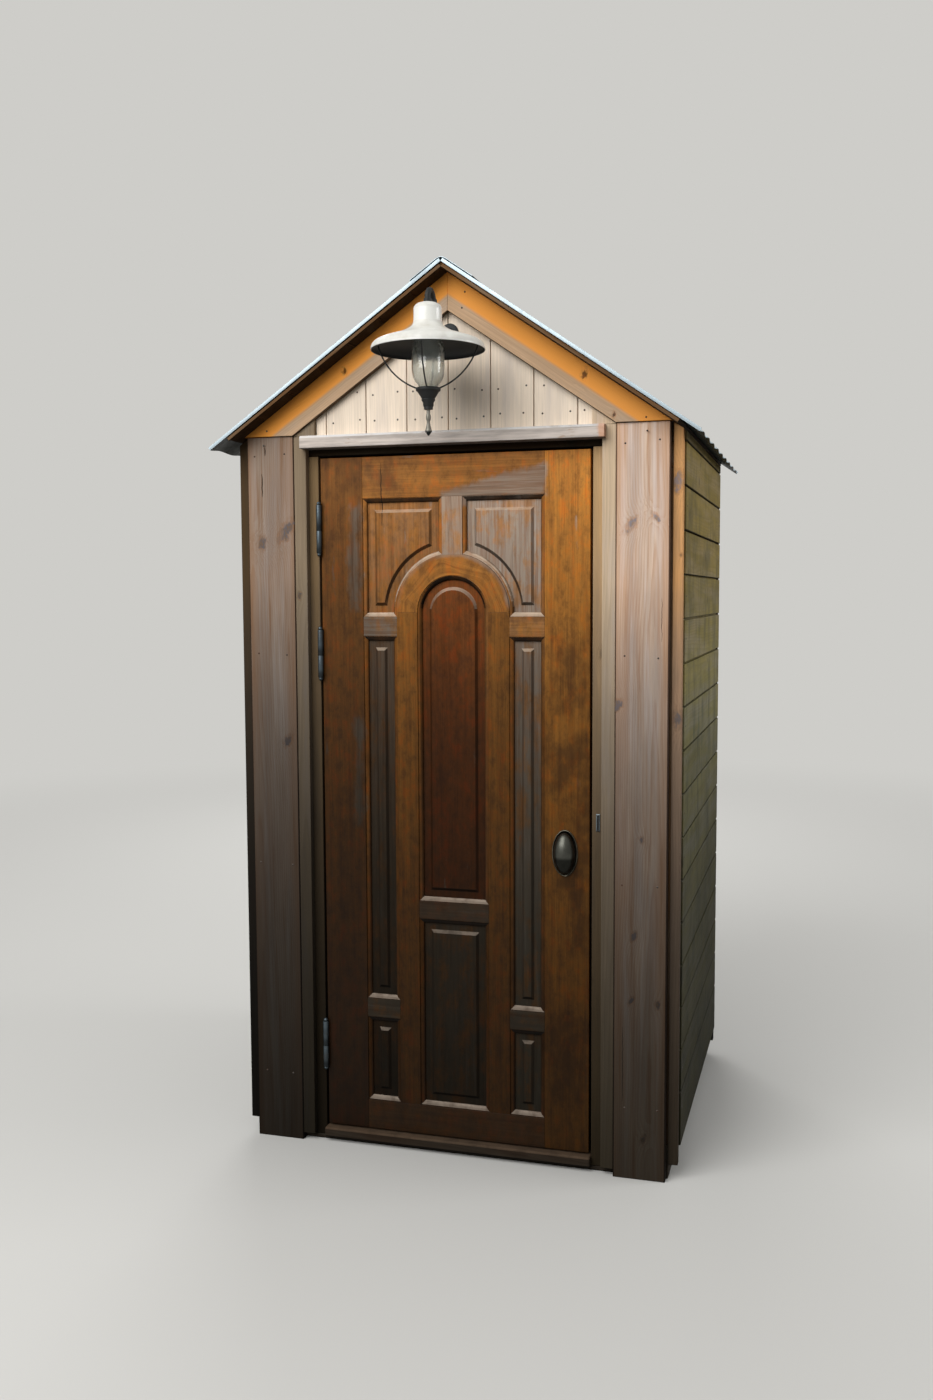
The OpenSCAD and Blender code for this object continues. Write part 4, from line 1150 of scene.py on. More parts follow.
def board_edges(w, colour, grain, place):
    """Wide boards keep pale and brown runs and some warmth, and dirt lies in the joints beside them."""
    runs = w.noise(place, (48.0, 48.0, 1.8), 5.0, 0.6)
    colour = w.mix(w.ease(runs, 0.50, 0.34, 0.0, 0.55), colour, RUN_PALE)
    colour = w.mix(w.ease(runs, 0.52, 0.68, 0.0, 0.60), colour, RUN_BROWN)
    wander = w.times(w.less(w.noise(grain, (30.0, 30.0, 3.0), 3.0), 0.5), 0.030)
    across = w.math("ABSOLUTE", w.parts(grain)[0])
    warm = w.ease(w.sum(across, wander), 0.030, 0.072)
    colour = w.mix(w.times(warm, 0.45), colour, EDGE_WARM)
    low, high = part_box("right_front_board")
    half = (high.x - low.x) / 2
    return w.mix(w.ease(across, half - 0.0040, half - 0.0022, 0.0, 0.92), colour, JOINT_DIRT)


# The rubbed top of the threshold, with a painted highlight
THRESHOLD_RUBBED_AND_LIT = srgb(112, 90, 70)
# The olive gold of the upper planks, and the heights between which it comes
PLANK_GOLD = srgb(202, 164, 88)
GOLD_FROM, GOLD_ABOVE = 1.15, 1.85


def trodden_top(w, colour, grain, place):
    """Feet have rubbed the top of the threshold pale, and a painted highlight lies along it."""
    return w.mix(w.times(sides_of(w, place)["Top"], 0.6), colour, THRESHOLD_RUBBED_AND_LIT)


def plank_heights(w, colour, grain, place):
    """The upper rows of planks have kept an olive gold, and the lower ones have turned grey."""
    high = w.ease(w.parts(place)[2], GOLD_FROM, GOLD_ABOVE)
    return w.mix(w.times(high, 0.44), colour, PLANK_GOLD, "OVERLAY")


def drop_finish(title, tint):
    """Grey metal with a blackened tip."""
    material, w, shader = new_finish(title)
    place = w.place()
    dirt = w.group(grime, {"Place": place, "Scale": 3.0})
    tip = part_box("lantern_frame")[0].z
    black = w.ease(w.parts(place)[2], tip + 0.015, tip + 0.009)
    colour = w.mix(w.ease(dirt["Clouds"], 0.4, 0.7, 0.0, 0.5), tint.drop_grey,
                   darker(tint.drop_grey, 0.5))
    w.fill(shader, {"Base Color": w.mix(black, colour, tint.iron_dark), "Metallic": 0.5,
                    "Roughness": w.ease(dirt["Spots"], 0.3, 0.7, 0.35, 0.6)})
    raise_bumps(w, shader, dirt["Spots"], 0.0002, 0.4)
    return material


# The studio


def seen_directly(w):
    """One for the rays that show a thing to the camera, straight or by a mirror or a glass."""
    ray = w.add("ShaderNodeLightPath").outputs
    return w.most(ray["Is Camera Ray"], ray["Is Glossy Ray"], ray["Is Transmission Ray"])


def studio_floor(tint):
    """A wide pale floor that fades into the backdrop."""
    clear_selection()
    bpy.ops.mesh.primitive_circle_add(vertices=96, radius=FLOOR_RADIUS, fill_type="NGON")
    floor = named("studio_floor")
    material, w, shader = new_finish("Studio Floor")
    seen = seen_directly(w)
    colour = w.mix(seen, darker(tint.floor_pale, 0.2), darker(tint.floor_pale, 0.86))
    w.fill(shader, {"Base Color": colour, "Roughness": 0.9, "Specular IOR Level": 0.1})
    far = w.ease(w.vector("LENGTH", w.place(), output=1), *FLOOR_FADE)
    glow = w.add("ShaderNodeEmission", {"Color": tint.floor_pale})
    blend = w.add("ShaderNodeMixShader", {0: w.times(far, seen), 1: shader.outputs[0],
                                          2: glow.outputs[0]})
    w.fill(w.tree.nodes["Material Output"], {"Surface": blend.outputs[0]})
    floor.data.materials.append(material)


def soft_light(title, place, size, share):
    """A large square light that gives what faces it a share of its own colour."""
    reach = Vector(LIT_PLACE) - Vector(place)
    light = bpy.data.lights.new(title, "AREA")
    light.shape = "SQUARE"
    light.size = size
    light.energy = math.pi ** 2 * reach.length_squared * share
    lamp = added(title, light)
    lamp.location = place
    lamp.rotation_euler = reach.to_track_quat("-Z", "Y").to_euler()


def studio_light(scene, tint):
    """A sky that is brightest overhead, a soft key from the front and two weak fills."""
    world = bpy.data.worlds.new("studio_world")
    world.use_nodes = True
    scene.world = world
    w = Wires(world.node_tree)
    strength = w.ease(w.parts(w.place("Generated"))[2], 0.0, 0.9, *SKY_SHARES)
    around = w.fill(w.tree.nodes["Background"], {"Color": (1, 1, 1, 1), "Strength": strength})
    backdrop = w.add("ShaderNodeBackground", {"Color": tint.floor_pale, "Strength": 1.0})
    blend = w.add("ShaderNodeMixShader", {0: seen_directly(w), 1: around.outputs[0],
                                          2: backdrop.outputs[0]})
    w.fill(w.tree.nodes["World Output"], {"Surface": blend.outputs[0]})
    for title, place, size, share in LIGHTS:
        soft_light(title, place, size, share)
    scene.view_settings.view_transform = "Standard"


def studio_camera(scene):
    """The camera where the photograph was taken."""
    ahead = Vector((-math.sin(CAMERA_YAW) * math.cos(CAMERA_DIP),
                    math.cos(CAMERA_YAW) * math.cos(CAMERA_DIP), -math.sin(CAMERA_DIP)))
    level = Vector((math.cos(CAMERA_YAW), math.sin(CAMERA_YAW), 0))
    upright = level.cross(ahead)
    right = level * math.cos(CAMERA_ROLL) + upright * math.sin(CAMERA_ROLL)
    up = upright * math.cos(CAMERA_ROLL) - level * math.sin(CAMERA_ROLL)
    optics = bpy.data.cameras.new("photo_camera")
    optics.lens = CAMERA_LENS
    optics.sensor_width = CAMERA_SENSOR
    optics.clip_end = 200
    scene.camera = added("photo_camera", optics)
    scene.camera.matrix_world = Matrix.Translation(CAMERA_PLACE) @ Matrix(
        (right, up, -ahead)).transposed().to_4x4()


# Pieces of the outhouse


def choices(context):
    """The sizes and colours that the user has set."""
    return context.scene.outhouse_sizes, context.scene.outhouse_colours


def on_side(side, piece):
    """Leaves a piece of the right side as it is, or mirrors it for the left side."""
    if side == "left":
        pick(piece)
        piece.scale.x = -1
        bpy.ops.object.transform_apply()
        face_outwards(piece)
    return piece


def laid_boards(title, low, high, axis, width, sizes):
    """Boards side by side along an axis, as many as come nearest to a width."""
    count = max(1, round((high[axis] - low[axis]) / width))
    step = Vector()
    step[axis] = (high[axis] - low[axis]) / count
    first_high = high.copy()
    first_high[axis] = low[axis] + step[axis] - sizes.board_gap
    first = block(title, low, first_high)
    soften(first, sizes.soft_edge)
    return [first] + [copy_of(first, step * i) for i in range(1, count)]


def floor_boards(sizes):
    low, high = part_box("floor_deck")
    boards = laid_boards("floor_board", low, high, 1, sizes.floor_board, sizes)
    for number, board in enumerate(boards):
        lay_grain(board, X, Y, f"floor board {number}")
    return join("floor_boards", boards)


def tongued_plank(title, low, high, outward, sizes):
    """A plank whose upper edge ends in a tongue, set back behind its face."""
    low, high = Vector(low), Vector(high)
    plank = block(title, low, high - Z * sizes.groove_gap)
    groove = high - outward * sizes.groove_depth
    edit(plank)
    bpy.ops.mesh.bisect(plane_co=groove, plane_no=outward)
    done()
    choose(plank, lambda face: face.normal.z > 0.9
           and face.calc_center_median().dot(outward) < groove.dot(outward))
    extrude(Z * sizes.groove_gap)
    done()
    return plank


def plank_wall(title, low, high, outward, along, sizes):
    """Rows of planks, the lowest lapping the sill, with those under the roof sawn to its slopes.

    The lowest row is at least half a plank high, and the one above it is copied."""
    rows = math.floor((sizes.plank_line - low.z) / sizes.plank_pitch - 0.5)
    line = sizes.plank_line - sizes.plank_pitch * rows
    lines = [low.z - PLANK_LAP]
    while line < high.z - LEAST_PLANK:
        lines.append(line)
        line += sizes.plank_pitch
    lines.append(high.z)
    eave = under_roof(max(abs(low.x), abs(high.x)))
    whole = tongued_plank(title, (low.x, low.y, lines[1]), (high.x, high.y, lines[2]), outward, sizes)
    soften(whole, sizes.soft_edge)
    planks = [whole]
    for foot, top in zip(lines, lines[1:]):
        if foot > lines[1] and top < eave:
            planks.append(copy_of(whole, Z * (foot - lines[1])))
        elif foot != lines[1]:
            plank = tongued_plank(title, (low.x, low.y, foot), (high.x, high.y, top), outward, sizes)
            if top > eave:
                cut_under_roof(plank)
            soften(plank, sizes.soft_edge)
            planks.append(plank)
    for number, plank in enumerate(planks):
        lay_grain(plank, along, Z, f"{title} {number}")
    return join(title, planks)


def casing_boards(side, sizes):
    """The casing strip beside the door and the wider upright that stands on it."""
    strip = parts_of(f"{side}_casing", f"{side}_casing_strip")[0]
    look = shaded_frame(middle_of(strip))
    boards = sawn_in_two(strip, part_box("drip_board")[1])
    for board, title in zip(boards, ("strip", "upright")):
        soften(board, sizes.soft_edge)
        lay_grain(board, Z, X, f"{side} casing {title}", **look)
    return join(f"{side}_casing_boards", boards)


def barge_depth():
    """Depth of the barge boards, measured upright."""
    return (WALL_LOW.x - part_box("right_casing")[1].x) * RISE


def gable_seams(sizes):
    """Places across of the seams between the gable boards, as far out as the walls."""
    reach = math.ceil(WALL_LOW.x / sizes.gable_pitch)
    return [GABLE_SEAM_X + sizes.gable_pitch * i for i in range(-reach, reach + 1)]


def gable_boards(sizes):
    """Upright boards under the roof, with open seams, and longer ones between the uprights."""
    inner_x, corner_x = (corner.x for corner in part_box("right_casing"))
    seams = [seam for seam in gable_seams(sizes) if abs(seam) < inner_x - SEAM_FROM_UPRIGHT
             or inner_x + SEAM_PAST_UPRIGHT < abs(seam) < WALL_LOW.x - SEAM_FROM_CORNER]
    edges = sorted(seams + [-WALL_LOW.x, -inner_x, inner_x, WALL_LOW.x])
    boards = []
    for number, (left, right) in enumerate(zip(edges, edges[1:])):
        short = abs(left + right) / 2 > inner_x
        foot = WALL_HIGH.z if short else GABLE_LOW.z
        board = block("gable_board", (left + sizes.gable_seam / 2, GABLE_LOW.y, foot),
                      (right - sizes.gable_seam / 2, GABLE_HIGH.y, RIDGE_Z))
        cut_under_roof(board)
        if short:
            side = math.copysign(1, left + right)
            cut(board, (side * corner_x, 0, WALL_HIGH.z),
                (-side * SLOPE_NORMAL.x, 0, -SLOPE_NORMAL.z))
        soften(board, sizes.soft_edge)
        lay_grain(board, Z, X, f"gable board {number}")
        boards.append(board)
    return join("gable_boards", boards)


def barge_boards(node, sizes):
    """The pair of boards under both slopes of a gable, cut level at their feet."""
    low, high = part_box(node)
    boards = []
    for side in (-1, 1):
        ends = sorted((0, side * high.x))
        board = block("barge_board", (ends[0], low.y, low.z), (ends[1], high.y, high.z))
        normal = Vector((side * SLOPE_NORMAL.x, 0, SLOPE_NORMAL.z))
        cut(board, (0, 0, RIDGE_Z), normal)
        cut(board, (0, 0, RIDGE_Z - barge_depth()), -normal)
        soften(board, sizes.soft_edge)
        lay_grain(board, *slope_lie(board), f"{node} {side}")
        boards.append(board)
    return join(f"{node}_pair", boards)


def slope_frame(height):
    """The frame of the right slope: X runs down it from the ridge, and Z stands square to it."""
    return Matrix.Translation((0, 0, height)) @ Matrix.Rotation(PITCH, 4, "Y")


def roof_boards(side, sizes):
    low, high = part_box("right_roof_boards")
    thickness = (high.z - RIDGE_Z) * math.cos(PITCH)
    reach = (high.x - thickness * math.sin(PITCH)) / math.cos(PITCH)
    boards = laid_boards(f"{side}_roof_board", Vector((0, low.y, 0)),
                         Vector((reach, high.y, thickness)), 0, sizes.roof_board, sizes)
    choose(boards[0], lambda spot: spot.co.x < sizes.soft_edge * 2, "VERT")
    bpy.ops.transform.translate(value=(-2 * thickness, 0, 0))
    done()
    for number, board in enumerate(boards):
        turn(board, slope_frame(RIDGE_Z))
        lay_grain(board, Y, slope_lie(board)[0], f"{side} roof board {number}")
    cut(boards[0], (0, 0, 0), -X)
    for near, far in ((low.y - VERGE_STRIP, low.y), (high.y, high.y + VERGE_STRIP)):
        strip = block("verge_strip", (0, near, 0), (reach, far, thickness - VERGE_GAP))
        soften(strip, sizes.soft_edge / 2)
        turn(strip, slope_frame(RIDGE_Z))
        cut(strip, (0, 0, 0), -X)
        lay_grain(strip, slope_lie(strip)[0], Y, f"{side} verge strip {near:.2f}")
        boards.append(strip)
    return on_side(side, join(f"{side}_roof_boarding", boards))


def sheet_reach(sizes):
    """Length of a roof sheet down the slope."""
    crest = sizes.wave_height + sizes.sheet_thickness
    return (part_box("right_roof_sheet")[1].x - crest * math.sin(PITCH)) / math.cos(PITCH)


def sheet_frame(sizes):
    """The slope's frame at the middle of the sheet's thickness."""
    return slope_frame(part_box("right_roof_boards")[1].z) @ Matrix.Translation(
        (0, 0, sizes.sheet_thickness / 2))


def wave_run(sizes):
    """Place where the waves start, inside the folded edge, and the length of one wave."""
    low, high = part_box("right_roof_sheet")
    start = low.y + sizes.sheet_thickness / 2
    return start, (high.y - low.y - sizes.sheet_thickness) / sizes.wave_count


def folded_edges(sizes):
    """The sheet's edges at the verges, folded upright."""
    low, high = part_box("right_roof_sheet")
    edges = []
    for near in (low.y, high.y - sizes.sheet_thickness):
        edge = block("folded_edge", (0, near, -FOLD_BELOW),
                     (sheet_reach(sizes), near + sizes.sheet_thickness, FOLD_ABOVE))
        soften(edge, sizes.sheet_thickness / 4)
        turn(edge, sheet_frame(sizes))
        cut(edge, (0, 0, 0), -X)
        edges.append(edge)
    return edges


def roof_sheet(side, sizes):
    """A corrugated sheet: one wave is traced, repeated along the roof and drawn down the slope."""
    start, step = wave_run(sizes)
    rise = sizes.wave_height / 2
    wave = [(0, start + step * i / WAVE_STEPS, rise - rise * math.cos(math.tau * i / WAVE_STEPS))
            for i in range(WAVE_STEPS + 1)]
    sheet = traced(f"{side}_sheet", wave)
    done()
    modified(sheet, "ARRAY", count=sizes.wave_count, use_relative_offset=False,
             use_constant_offset=True, constant_offset_displace=(0, step, 0),
             use_merge_vertices=True, merge_threshold=ARRAY_WELD)
    edit(sheet, "EDGE")
    extrude(X * sheet_reach(sizes))
    done()
    modified(sheet, "SOLIDIFY", thickness=sizes.sheet_thickness, offset=0)
    turn(sheet, sheet_frame(sizes))
    face_outwards(sheet)
    sheet = join(f"{side}_sheet", [sheet, *folded_edges(sizes)])
    smooth(sheet)
    return on_side(side, sheet)


def ridge_cover(sizes):
    """The bent sheet over the ridge, with a rounded crown."""
    low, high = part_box("ridge_cap")
    half = sizes.sheet_thickness / 2
    run = high.x - half * math.sin(PITCH)
    top = high.z - half / math.cos(PITCH)
    flank = [(RIDGE_ROUND * share, top - RIDGE_ROUND * (share + (1 - share) ** 2 / 2) * RISE)
             for share in (0, 0.33, 0.66, 1)]
    section = [*flank, (run, top - run * RISE)]
    points = [(-x, low.y, z) for x, z in reversed(section[1:])] + [(x, low.y, z) for x, z in section]
    cover = traced("ridge_cover", points)
    bpy.ops.mesh.select_all(action="SELECT")
    extrude(Y * (high.y - low.y))
    done()
    modified(cover, "SOLIDIFY", thickness=sizes.sheet_thickness, offset=0)
    face_outwards(cover)
    smooth(cover, 20)
    return cover


def studs(title, pattern, places, frames):
    """Copies of one small fastener, each stood up in its own frame, joined into one piece."""
    copies = []
    for place, stand in zip(places, frames):
        twin = copy_of(pattern, (0, 0, 0))
        turn(twin, Matrix.Translation(place) @ stand)
        copies.append(twin)
    bpy.data.objects.remove(pattern)
    return join(title, copies)


def roof_screws(side, sizes):
    """Screws with washers in the troughs between the waves, in rows along the slope."""
    start, step = wave_run(sizes)
    washer, head = sizes.screw_radius, sizes.screw_radius * 0.55
    profile = [(0, 0), (washer, 0), (washer, 0.0012), (washer * 0.9, 0.002), (head, 0.0024),
               (head, 0.0072), (head * 0.75, 0.0082), (0, 0.0082)]
    pattern = lathed("roof_screw", (0, 0, 0), profile, steps=8)
    trough = sizes.sheet_thickness / 2
    places = [sheet_frame(sizes) @ Vector((reach * sheet_reach(sizes), start + i * step, trough))
              for reach in SCREW_ROWS for i in range(2, sizes.wave_count, 2)]
    stand = Matrix.Rotation(PITCH, 4, "Y")
    return on_side(side, studs(f"{side}_roof_screws", pattern, places, [stand] * len(places)))


def nail_places(sizes):
    """Places of the nails, each with the direction that its head looks."""
    front, wide_y = -Y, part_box("right_front_board")[0].y
    barge_y, rear_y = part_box("front_barge_boards")[0].y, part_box("rear_wall")[1].y
    places = []
    for seam in gable_seams(sizes):
        middle = seam + sizes.gable_pitch / 2
        for x in (middle - NAIL_PAIR, middle + NAIL_PAIR):
            top = under_roof(x) - barge_depth() - NAIL_MARGIN
            if abs(x) < GABLE_NAILS_REACH:
                places += [((x, GABLE_LOW.y, z), front) for z in GABLE_NAILS_Z if z < top]
    for side in (-1, 1):
        for z in BOARD_NAILS_Z:
            places += [((side * x, wide_y, z), front) for x in BOARD_NAILS_X]
        for x in BARGE_NAILS_X:
            places += [((side * x, barge_y, under_roof(x) - share * barge_depth()), front)
                       for share in BARGE_NAIL_SHARES]
        line = sizes.plank_line
        while line > WALL_LOW.z + LOWEST_NAIL:
            z = line - sizes.plank_pitch / 2
            places += [((side * WALL_HIGH.x, y, z), side * X) for y in WALL_NAILS_Y]
            places.append(((side * REAR_NAILS_X, rear_y, z), Y))
            line -= sizes.plank_pitch
    chance = random.Random("nails")
    return [(Vector(place) + (X * abs(way.y) + Y * abs(way.x)) * chance.uniform(-NAIL_STRAY, NAIL_STRAY)
             + Z * chance.uniform(-NAIL_STRAY, NAIL_STRAY), way) for place, way in places]


def nails(sizes):
    radius = sizes.nail_radius
    profile = [(0, -0.001), (radius, -0.001), (radius, 0.0003), (radius * 0.7, 0.0009), (0, 0.0012)]
    pattern = lathed("nail", (0, 0, 0), profile, steps=8)
    places = nail_places(sizes)
    stands = [Z.rotation_difference(outward).to_matrix().to_4x4() for _, outward in places]
    return studs("nails", pattern, [place for place, _ in places], stands)


def shaded_left(place):
    """The pieces on the left are greyed more, and darkened with painted shade."""
    return {} if place.x > 0 else {"dark": 0.62, "worn": 0.50}


def shaded_frame(place):
    """The casing and the jamb on the left are darkened with painted shade."""
    return {} if place.x > 0 else {"dark": 0.66}


def corner_look(place):
    """Only the strip at the front right has kept its colour; the others are greyed, and darkened with
    painted shade.
    """
    return {} if place.x > 0 and place.y < 0 else {"dark": 0.95, "worn": 0.95}


def door_part_look(place):
    """How far the varnish has gone on the small blocks and the rails, and how far painted shade darkens
    them.
    """
    if abs(place.x) > LOCK_STILE_X - BLOCK_REACH:
        if place.z > WAIST_Z:
            return {"worn": 0.25} if place.x > 0 else {"worn": 1.1, "dark": 0.40}
        return {"worn": 1.0, "dark": 0.2}
    if place.z > WAIST_Z:
        return {"worn": 0.04, "stain": 0.2, "dark": 0.32}
    if place.z > FOOT_Z:
        return {"worn": 0.6, "stain": 0.5, "dark": 0.35}
    return {"worn": 0.3, "stain": 0.4}


def panel_look(place):
    """The arched panel is stained red, and those beside the hinges and the lock have greyed; painted
    shade darkens them, most on the left and low in the middle.
    """
    if abs(place.x) < PANEL_REACH:
        high_up = {"stain": 1.0, "worn": 0.04, "dark": 0.25}
        return high_up if place.z > WAIST_Z else {"worn": 1.0, "dark": 0.6}
    if place.z > SPANDREL_Z:
        return {"worn": 1.3} if place.x > 0 else {"worn": 0.25, "stain": 0.2, "dark": 0.3}
    return {"worn": 1.1, "dark": 0.2} if place.x > 0 else {"worn": 0.95, "dark": 0.75}


def arch_parts(sizes):
    """The bent band of the arch and the short upright over its crown."""
    band = parts_of("door_arch", "door_arch_band")[0]
    low, high = span_of(band)
    band, upright = sawn_in_two(band, Vector((0, 0, low.z + high.x - ARCH_FLAT)))
    soften(band, sizes.door_edge)
    soften(upright, sizes.door_edge)
    hub = Vector((0, (low.y + high.y) / 2, low.z))
    # The band is darkened a little with painted shade
    lay_grain(band, X, Z, "arch band", worn=0.04, stain=0.12, dark=0.06, hub=hub)
    lay_grain(upright, Z, X, "arch upright", worn=1.0)
    return join("door_arch_parts", [band, upright])


def draw_out(centre, rings):
    """Draws the selected end of an oval out through rings of half width, half height and reach."""
    wide, high, out = rings[0]
    for next_wide, next_high, next_out in rings[1:]:
        extrude(-Y * (next_out - out))
        bpy.ops.transform.resize(value=(next_wide / wide, 1, next_high / high),
                                 center_override=centre)
        wide, high, out = next_wide, next_high, next_out


# The raised rim of the knob's plate: how far in each ring lies and how far it stands out.
# Then the angles of the rings of its dome
PLATE_RIM = ((0.0007, 0.0008), (0.0012, 0.0018), (0.0020, 0.0021), (0.0028, 0.0018),
             (0.0034, 0.0004), (0.0050, -0.0006))
DOME_ANGLES = (5, 15, 26, 37, 48, 59, 69, 78, 85)


def knob(bronze, rubbed):
    """The oval plate with its rubbed rim, and the domed oval knob on its neck."""
    low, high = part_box("door_knob")
    centre = (low + high) / 2
    centre.y = high.y
    half_wide, half_high, reach = (high.x - low.x) / 2, (high.z - low.z) / 2, high.y - low.y
    plate = PLATE_THICKNESS
    clear_selection()
    bpy.ops.mesh.primitive_cylinder_add(vertices=56, radius=1, depth=plate,
                                        location=centre - Y * plate / 2,
                                        rotation=(math.pi / 2, 0, 0))
    piece = named("oval_knob")
    bpy.ops.object.transform_apply()
    edit(piece)
    bpy.ops.transform.resize(value=(half_wide, 1, half_high), center_override=centre)
    done()
    choose(piece, facing(-Y))
    slim, tall = half_wide - KNOB_RIM, half_high - KNOB_RIM
    rim = [(half_wide - inset, half_high - inset, plate + rise) for inset, rise in PLATE_RIM]
    back = reach - slim
    neck = [(slim * 0.5, slim, plate - 0.0004), (slim * 0.5, slim, back - 0.001)]
    under = [(slim * 0.96, tall * 0.96, back - 0.0004), (slim * 0.995, tall * 0.995, back + 0.0008)]
    angles = [math.radians(angle) for angle in DOME_ANGLES]
    dome = [(slim * math.cos(angle), tall * math.cos(angle), back + slim * math.sin(angle))
            for angle in angles]
    draw_out(centre, [(half_wide, half_high, plate), *rim, *neck, *under, *dome])
    done()
    smooth(piece, 35)

    def on_rim(face):
        aside, above = (face.center.x - centre.x) / half_wide, (face.center.z - centre.z) / half_high
        return math.hypot(aside, above) > 1 - KNOB_RIM / 2 / half_wide
    return two_toned(piece, bronze, rubbed, on_rim)


def keep_plate(steel, dark):
    """The small plate with a slot on the jamb beside the knob."""
    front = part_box("right_jamb")[0].y
    piece = block("keep_plate", (KEEP_LOW[0], front - KEEP_THICKNESS, KEEP_LOW[1]),
                  (KEEP_HIGH[0], front, KEEP_HIGH[1]))
    soften(piece, KEEP_THICKNESS / 3)
    choose(piece, facing(-Y))
    bpy.ops.mesh.inset(thickness=KEEP_RIM)
    extrude(Y * KEEP_THICKNESS * 0.8)
    done()
    return two_toned(piece, steel, dark, lambda face: face.normal.y < -0.9
                     and face.center.y > front - KEEP_THICKNESS / 2)


# Profiles of the lantern, in shares of each piece's radius. Upwards they are heights of the shade
# and the glass over their feet, depths of the hub, and shares of the drop's length
SHADE_OUTSIDE = ((0.183, 0.1220), (0.236, 0.1150), (0.248, 0.1080), (0.248, 0.0860),
                 (0.252, 0.0720), (0.275, 0.0640), (0.36, 0.0545), (0.51, 0.0440),
                 (0.70, 0.0350), (0.87, 0.0267), (0.965, 0.018))
SHADE_INSIDE = ((0.95, 0.0160), (0.86, 0.0247), (0.69, 0.0330), (0.50, 0.0420), (0.35, 0.0520),
                (0.262, 0.0620), (0.234, 0.0740), (0.234, 0.1080), (0.17, 0.1190))
HUB_TURNING = ((0.86, 0.0110), (0.73, 0.0182), (0.60, 0.0250), (0.52, 0.0285), (0.56, 0.0310),
               (0.54, 0.0335), (0.44, 0.0382), (0.42, 0.0480), (0.40, 0.0490), (0.36, 0.0495),
               (0.36, HUB_HEIGHT), (0, HUB_HEIGHT))
DROP_TURNING = ((0.53, 0.15), (0.62, 0.20), (0.69, 0.25), (0.69, 0.35), (0.60, 0.40),
                (0.46, 0.45), (0.52, 0.55), (0.86, 0.76), (1, 0.81), (1, 0.87), (0.66, 0.88),
                (0.60, 0.92), (0.2, 1), (0, 1))
GLASS_BULGE = ((0.555, 0), (0.60, 0.006), (0.86, 0.020), (1, 0.036), (1, 0.070), (0.985, 0.100),
               (0.90, 0.122), (0.78, 0.142))


def lantern_shade(white, dark):
    """The enamelled shade with its beaded rim, and its dark underside."""
    radius, height, sheet = SHADE_RADIUS, CROWN_Z - RIM_Z, ENAMEL_SHEET
    outer = [(radius * 0.09, height), *((radius * share, z) for share, z in SHADE_OUTSIDE),
             (radius - 0.0004, 0.008), (radius, 0.0012)]
    bead = [(radius - 0.0006, 0.0004), (radius - 0.0020, 0.0), (radius - 0.0034, 0.0004)]
    inner = [(radius - sheet - 0.0012, 0.0012), (radius - sheet - 0.0006, 0.0076),
             *((radius * share, z) for share, z in SHADE_INSIDE), (0, height - sheet)]
    profile = [(0, height)] + eased(outer, 1) + bead + eased(inner, 1)

    def inside(face):
        radial = Vector((face.center.x, face.center.y - LANTERN_Y, 0)).normalized()
        return face.normal.dot(radial + Z * 0.8) < 0
    piece = lathed("enamel_shade", (0, LANTERN_Y, RIM_Z), profile, steps=72)
    return two_toned(piece, white, dark, inside)


def lantern_arm():
    """The bent tube from the gable to the crown, with its rose, couplings and hook."""
    low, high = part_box("lantern_arm")
    radius, gable_y = ARM_RADIUS, high.y
    arm_z, hook_z = low.z + ROSE_RADIUS, high.z - HOOK_RADIUS - radius
    elbow_y = LANTERN_Y + 2 * HOOK_RADIUS + ELBOW_RADIUS
    route = [Vector((0, gable_y, arm_z))]
    route += arc((0, elbow_y, arm_z + ELBOW_RADIUS), ELBOW_RADIUS, 270, 180, 12, first=Y)
    route += arc((0, LANTERN_Y + HOOK_RADIUS, hook_z), HOOK_RADIUS, 0, 180, 20, first=Y)
    route += [Vector((0, LANTERN_Y, CROWN_Z - 0.002))]
    parts = [tube("arm_tube", route, radius)]
    sleeve = [(0, 0), (radius * 1.2, 0), (radius * 1.35, 0.0012), (radius * 1.35, 0.0088),
              (radius * 1.2, 0.010), (0, 0.010)]
    for y, z in ((elbow_y - ELBOW_RADIUS, hook_z - 0.005), (LANTERN_Y, CROWN_Z)):
        parts.append(lathed("arm_sleeve", (0, y, z), sleeve, steps=24))
    rose = [(0, 0), (ROSE_RADIUS, 0), (ROSE_RADIUS, 0.0024), (ROSE_RADIUS * 0.86, 0.0046),
            (ROSE_RADIUS * 0.5, 0.0054), (radius * 1.45, 0.008), (radius * 1.3, 0.016), (0, 0.016)]
    disc = lathed("arm_rose", (0, 0, 0), rose, steps=32)
    turn(disc, Matrix.Translation((0, gable_y, arm_z)) @ Matrix.Rotation(math.pi / 2, 4, "X"))
    return join("lantern_arm_tube", [*parts, disc])


def lantern_hub():
    """The turned hub under the glass."""
    profile = [(0, 0), (HUB_RADIUS - 0.001, 0), (HUB_RADIUS, -0.0012), (HUB_RADIUS, -0.0068),
               (HUB_RADIUS - 0.0015, -0.0085),
               *((HUB_RADIUS * share, -depth) for share, depth in HUB_TURNING)]
    return lathed("lantern_hub", (0, LANTERN_Y, RIM_Z - HUB_DROP), profile, steps=48)


def lantern_drop():
    """The small turned drop that hangs from the hub."""
    top = RIM_Z - HUB_DROP - HUB_HEIGHT
    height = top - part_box("lantern_frame")[0].z
    profile = [(0, 0.001), (DROP_RADIUS * 0.55, 0.001),
               *((DROP_RADIUS * share, -height * depth) for share, depth in DROP_TURNING)]
    return lathed("lantern_drop", (0, LANTERN_Y, top), profile, steps=32)


